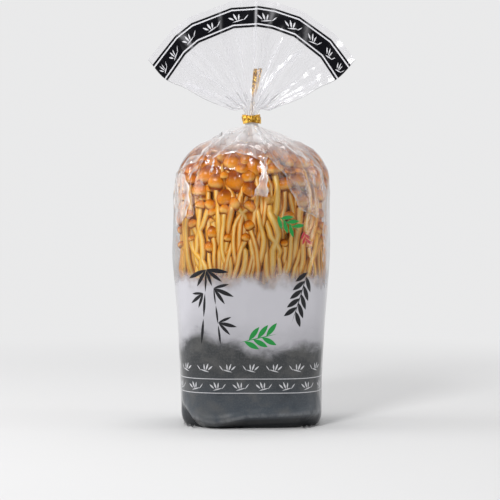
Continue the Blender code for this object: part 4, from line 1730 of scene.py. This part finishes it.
    def build(self) -> None:
        """Makes and dresses the whole bunch, in sectors round the base."""
        skin = self.finish.build()
        for held, grade in ((True, self.front_grade), (False, self.plain_grade)):
            self.stems[held] = grade.stem()
            for kind in CapKind:
                self.caps[kind, held] = grade.cap(kind)
        grown = self.plant()
        self.settle(grown)
        draw = random.Random(self.seed + 1)
        for sector in range(self.sectors):
            part = [one for one in grown if int(one.root_turn() / TURN * self.sectors) == sector]
            piece = self.joined(f"mushrooms_{sector + 1}", part, draw)
            hand_over(piece, skin, "mushroom_bunch")
        hand_over(self.core(), base_material(), "mushroom_bunch")


@dataclass(frozen=True)
class FoilFinish:
    """Gold foil over paper and wire."""

    bright: Colour = (0.95, 0.60, 0.10)
    # deep: painted dark reflections and shade in the foil's creases.
    deep: Colour = (0.30, 0.125, 0.008)

    def build(self) -> Material:
        """The material, with creases across the foil, whose dark brown is a painted reflection and shade."""
        graph = Graph("gold_foil")
        place = graph.socket("TexCoord", output="Object")
        crease = graph.noise(place, (420.0, 420.0, 260.0), 3.0, 0.6, 1.2)
        foil = {
            # Painted reflection and shade: the foil's creases turn dark brown.
            "Base Color": graph.mixed(graph.rise(crease, 0.42, 0.66), self.deep, self.bright),
            "Metallic": 0.85,
            "Roughness": graph.scaled(crease, 0.25, 0.12),
            "Normal": graph.bump(crease, 0.9, 0.9 * MM),
        }
        return graph.surface(graph.socket("BsdfPrincipled", foil))


@dataclass
class WireTie:
    """The flat wire tie: two crossing turns round the neck and two twisted ends behind it."""

    form: BagForm = FORM
    clearance: float = 0.35 * MM
    thickness: float = 0.55 * MM
    width: float = 4.3 * MM
    wire_ridge: float = 0.28 * MM
    rounding: float = 0.12 * MM
    tilts: Pair = (math.radians(12.0), math.radians(-9.0))
    tail_length: float = 36.0 * MM
    tail_rise: tuple[float, float, float] = (0.07, 0.33, 0.94)
    tail_width: float = 2.6 * MM
    twist_turns: float = 1.5
    twist_share: float = 0.38
    finish: FoilFinish = FoilFinish()

    def walled(self, sheet: Piece, offset: float, rounding: float = 0.0) -> Piece:
        """Gives a sheet its thickness, and rounded edges if asked, and smooths it.

        Args:
            sheet: The sheet.
            offset: On which side the thickness lies, 1 for outside and 0 for both.
            rounding: How far the edges are rounded.

        Returns:
            The same object.
        """
        wall = sheet.modifiers.new("wall", "SOLIDIFY")
        wall.thickness = self.thickness
        wall.offset = offset
        if rounding > 0.0:
            edge = sheet.modifiers.new("edge", "BEVEL")
            edge.width = rounding
            edge.segments = 2
        select_only(sheet)
        for name in [modifier.name for modifier in sheet.modifiers]:
            bpy.ops.object.modifier_apply(modifier=name)
        bpy.ops.object.shade_smooth_by_angle(angle=math.radians(40))
        return sheet

    def turn(self, name: str, radius: float, tilt: float) -> Piece:
        """Models one turn round the neck: a cut tube that is crumpled, ridged and tilted.

        Args:
            name: The turn's name.
            radius: Its inner radius.
            tilt: How far it tilts, in radians.

        Returns:
            The turn.
        """
        middle = self.form.tie_height
        cuts = [middle + share * self.width for share in (-0.3, -0.12, 0.0, 0.12, 0.3)]
        band = cut_tube(72, radius, (middle - self.width / 2, middle + self.width / 2), cuts)
        band.name = name
        for vertex in band.data.vertices:
            share = (vertex.co.z - middle) / self.width
            angle = math.atan2(vertex.co.x, -vertex.co.y)
            crumple = 0.12 * MM * math.sin(11.0 * angle + 6.0 * share) + 0.08 * MM * math.sin(23.0 * angle)
            grown = 1.0 + (self.wire_ridge * bell(share, 0.11) + crumple) / radius
            vertex.co.x *= grown
            vertex.co.y *= grown
            vertex.co.z += math.tan(tilt) * vertex.co.x
        return self.walled(band, 1.0, self.rounding)

    def tail(self, name: str, start_turn: float, lean: float) -> Piece:
        """Models one end: a flat strip with a wire ridge, twisted with the other and then free.

        Args:
            name: The end's name.
            start_turn: The angle that its twist starts at.
            lean: The side that its free part leans to, 1 for right and -1 for left.

        Returns:
            The end.
        """
        start = Vector((0.0, self.form.neck_radius + self.clearance + 1.28 * MM, self.form.tie_height))
        rise = Vector(self.tail_rise).normalized()
        back = rise.cross(Vector((1, 0, 0)))
        profile = ((-0.5, 0.0), (-0.16, 0.0), (0.0, 0.45), (0.16, 0.0), (0.5, 0.0))
        steps = 60
        places = []
        for share in np.linspace(0.0, 1.0, steps + 1):
            free = max(share - self.twist_share, 0.0) / (1.0 - self.twist_share)
            angle = start_turn + TURN * self.twist_turns * min(share / self.twist_share, 1.0)
            angle += 0.5 * math.pi * float(smooth_step(0.0, 0.35, free))
            out = Vector((math.cos(angle), 0, 0)) + back * math.sin(angle)
            spread = Vector(((0.045 * lean + 0.05) * free * self.tail_length, 0.0, 0.0))
            curl = back * (math.sin(free * 3.0) * 0.8 * MM * lean)
            middle = start + rise * self.tail_length * share + out * 0.44 * MM + spread + curl
            side = out.cross(rise).normalized()
            for across, ridge in profile:
                places.append(middle + side * across * self.tail_width + out * ridge * self.wire_ridge * 2)
        faces = ruled_faces(steps + 1, len(profile)).tolist()
        return self.walled(linked_mesh(name, [tuple(place) for place in places], faces), 0.0)

    def build(self) -> None:
        """Makes and dresses the tie's pieces."""
        foil = self.finish.build()
        radius = self.form.neck_radius + self.clearance + 0.35 * MM
        pieces = (
            self.turn("tie_turn_inner", radius, self.tilts[0]),
            self.turn("tie_turn_outer", radius + self.thickness, self.tilts[1]),
            self.tail("tie_end_right", 0.0, 1.0),
            self.tail("tie_end_left", math.pi, -1.0),
        )
        for piece in pieces:
            hand_over(piece, foil, "wire_tie")


def add_looking(name: str, data: bpy.types.ID, place: Vector, target: Vector) -> Piece:
    """Adds a lamp or camera that looks from a place to a target.

    Args:
        name: The object's name.
        data: The lamp or camera.
        place: Where it stands.
        target: What it looks at.

    Returns:
        The object.
    """
    made = bpy.data.objects.new(name, data)
    made.location = place
    made.rotation_euler = (target - place).to_track_quat("-Z", "Y").to_euler()
    bpy.context.scene.collection.objects.link(made)
    return made


@dataclass(frozen=True)
class Softbox:
    """One area light: where it stands, its size and power."""

    name: str
    place: tuple[float, float, float]
    size: Pair
    power: float

    def build(self, target: Vector) -> None:
        """Adds the light, turned to the target. The camera doesn't see it."""
        data = bpy.data.lights.new(self.name, "AREA")
        data.shape = "RECTANGLE"
        data.size, data.size_y = self.size
        data.energy = self.power
        add_looking(self.name, data, Vector(self.place), target).visible_camera = False


@dataclass
class Studio:
    """The pale floor that sweeps up all round, the soft lights and the camera."""

    paper: float = 0.565
    far_glow: float = 0.82
    near: float = 0.20
    far: float = 0.66
    world: float = 0.74
    floor_radius: float = 1.4
    sweep_radius: float = 1.3
    middle: Vector = field(default_factory=lambda: Vector((-1.0 * MM, 0.0, 115.0 * MM)))
    distance: float = 1.5
    elevation: float = math.radians(3.0)
    frame_width: float = 332.8 * MM
    flag_place: float = -1.15
    flag_size: Pair = (1.7, 1.3)
    boxes: tuple[Softbox, ...] = (
        Softbox("left_box", (-0.95, 0.05, 0.45), (0.50, 0.60), 4.9),
        Softbox("key", (-0.42, -0.95, 0.80), (0.26, 0.26), 9.5),
        Softbox("right_strip", (0.85, -0.10, 0.35), (0.12, 0.70), 1.5),
        Softbox("top", (0.05, 0.15, 1.0), (0.35, 0.25), 2.4),
    )

    def paper_material(self) -> Material:
        """Matt paper near the object that turns to an even glow far from it."""
        graph = Graph("studio_paper")
        place = graph.socket("TexCoord", output="Object")
        away = graph.socket("VectorMath", {0: place}, "Value", operation="LENGTH")
        paper = graph.socket("BsdfDiffuse", {"Color": (self.paper, self.paper, self.paper * 1.005)})
        glow = graph.socket("Emission", {"Color": (self.far_glow, self.far_glow, self.far_glow * 1.005)})
        return graph.surface(graph.blended(graph.rise(away, self.near, self.far), paper, glow))

    def stage(self) -> None:
        """The floor, modelled as a disc whose edge is drawn out and up into a round wall."""
        select_only(None)
        bpy.ops.mesh.primitive_circle_add(vertices=96, radius=self.floor_radius, fill_type="NGON")
        sweep = bpy.context.active_object
        sweep.name = "studio_sweep"
        bpy.ops.object.mode_set(mode="EDIT")
        bpy.ops.mesh.select_all(action="SELECT")
        bends = [math.radians(7.5 * step) for step in range(13)]
        for before, bend in zip(bends, bends[1:]):
            wide, wider = (self.floor_radius + self.sweep_radius * math.sin(turn) for turn in (before, bend))
            bpy.ops.mesh.extrude_region_move()
            bpy.ops.transform.resize(value=(wider / wide, wider / wide, 1.0))
            lift = self.sweep_radius * (math.cos(before) - math.cos(bend))
            bpy.ops.transform.translate(value=(0.0, 0.0, lift))
        bpy.ops.mesh.extrude_region_move(TRANSFORM_OT_translate={"value": (0.0, 0.0, 1.5)})
        bpy.ops.mesh.delete(type="ONLY_FACE")
        bpy.ops.mesh.select_all(action="SELECT")
        bpy.ops.mesh.normals_make_consistent(inside=True)
        bpy.ops.object.mode_set(mode="OBJECT")
        bpy.ops.object.shade_smooth()
        sweep.data.materials.append(self.paper_material())

    def flag(self) -> None:
        """A dark panel on the camera's side, which keeps white out of the film's reflections."""
        select_only(None)
        bpy.ops.mesh.primitive_plane_add(size=1.0, location=(0.0, self.flag_place, self.flag_size[1] / 2))
        panel = bpy.context.active_object
        panel.name = "dark_flag"
        panel.rotation_euler = (math.radians(90.0), 0.0, 0.0)
        panel.scale = (*self.flag_size, 1.0)
        bpy.ops.object.transform_apply(location=True, rotation=True, scale=True)
        graph = Graph("flag_cloth")
        cloth = graph.socket("BsdfDiffuse", {"Color": (0.02, 0.02, 0.02)})
        panel.data.materials.append(graph.surface(cloth))
        panel.visible_camera = False

    def light(self) -> None:
        """The soft lights and the even light of the room."""
        for box in self.boxes:
            box.build(self.middle)
        world = bpy.data.worlds.new("room")
        world.use_nodes = True
        backdrop = world.node_tree.nodes["Background"]
        backdrop.inputs["Color"].default_value = (1.0, 1.0, 1.0, 1.0)
        backdrop.inputs["Strength"].default_value = self.world
        bpy.context.scene.world = world

    def camera(self) -> None:
        """The camera in front, a little above level, with a long lens."""
        data = bpy.data.cameras.new("camera")
        data.lens = data.sensor_width * self.distance / self.frame_width
        back = Vector((0.0, -math.cos(self.elevation), math.sin(self.elevation)))
        scene = bpy.context.scene
        scene.camera = add_looking("camera", data, self.middle + back * self.distance, self.middle)
        scene.view_settings.view_transform = "Standard"
        scene.cycles.transparent_max_bounces = 24

    def build(self) -> None:
        """Sets the whole studio up."""
        self.camera()
        self.stage()
        self.flag()
        self.light()


def main() -> None:
    """Builds the studio and every piece."""
    logging.basicConfig(level=logging.INFO, format="%(name)s: %(message)s")
    Studio().build()
    body = BodyFilm()
    body.build()
    FilmFolds(body).build()
    RuffleFilm().build()
    WireTie().build()
    MushroomBunch().build()


if __name__ == "__main__":
    main()
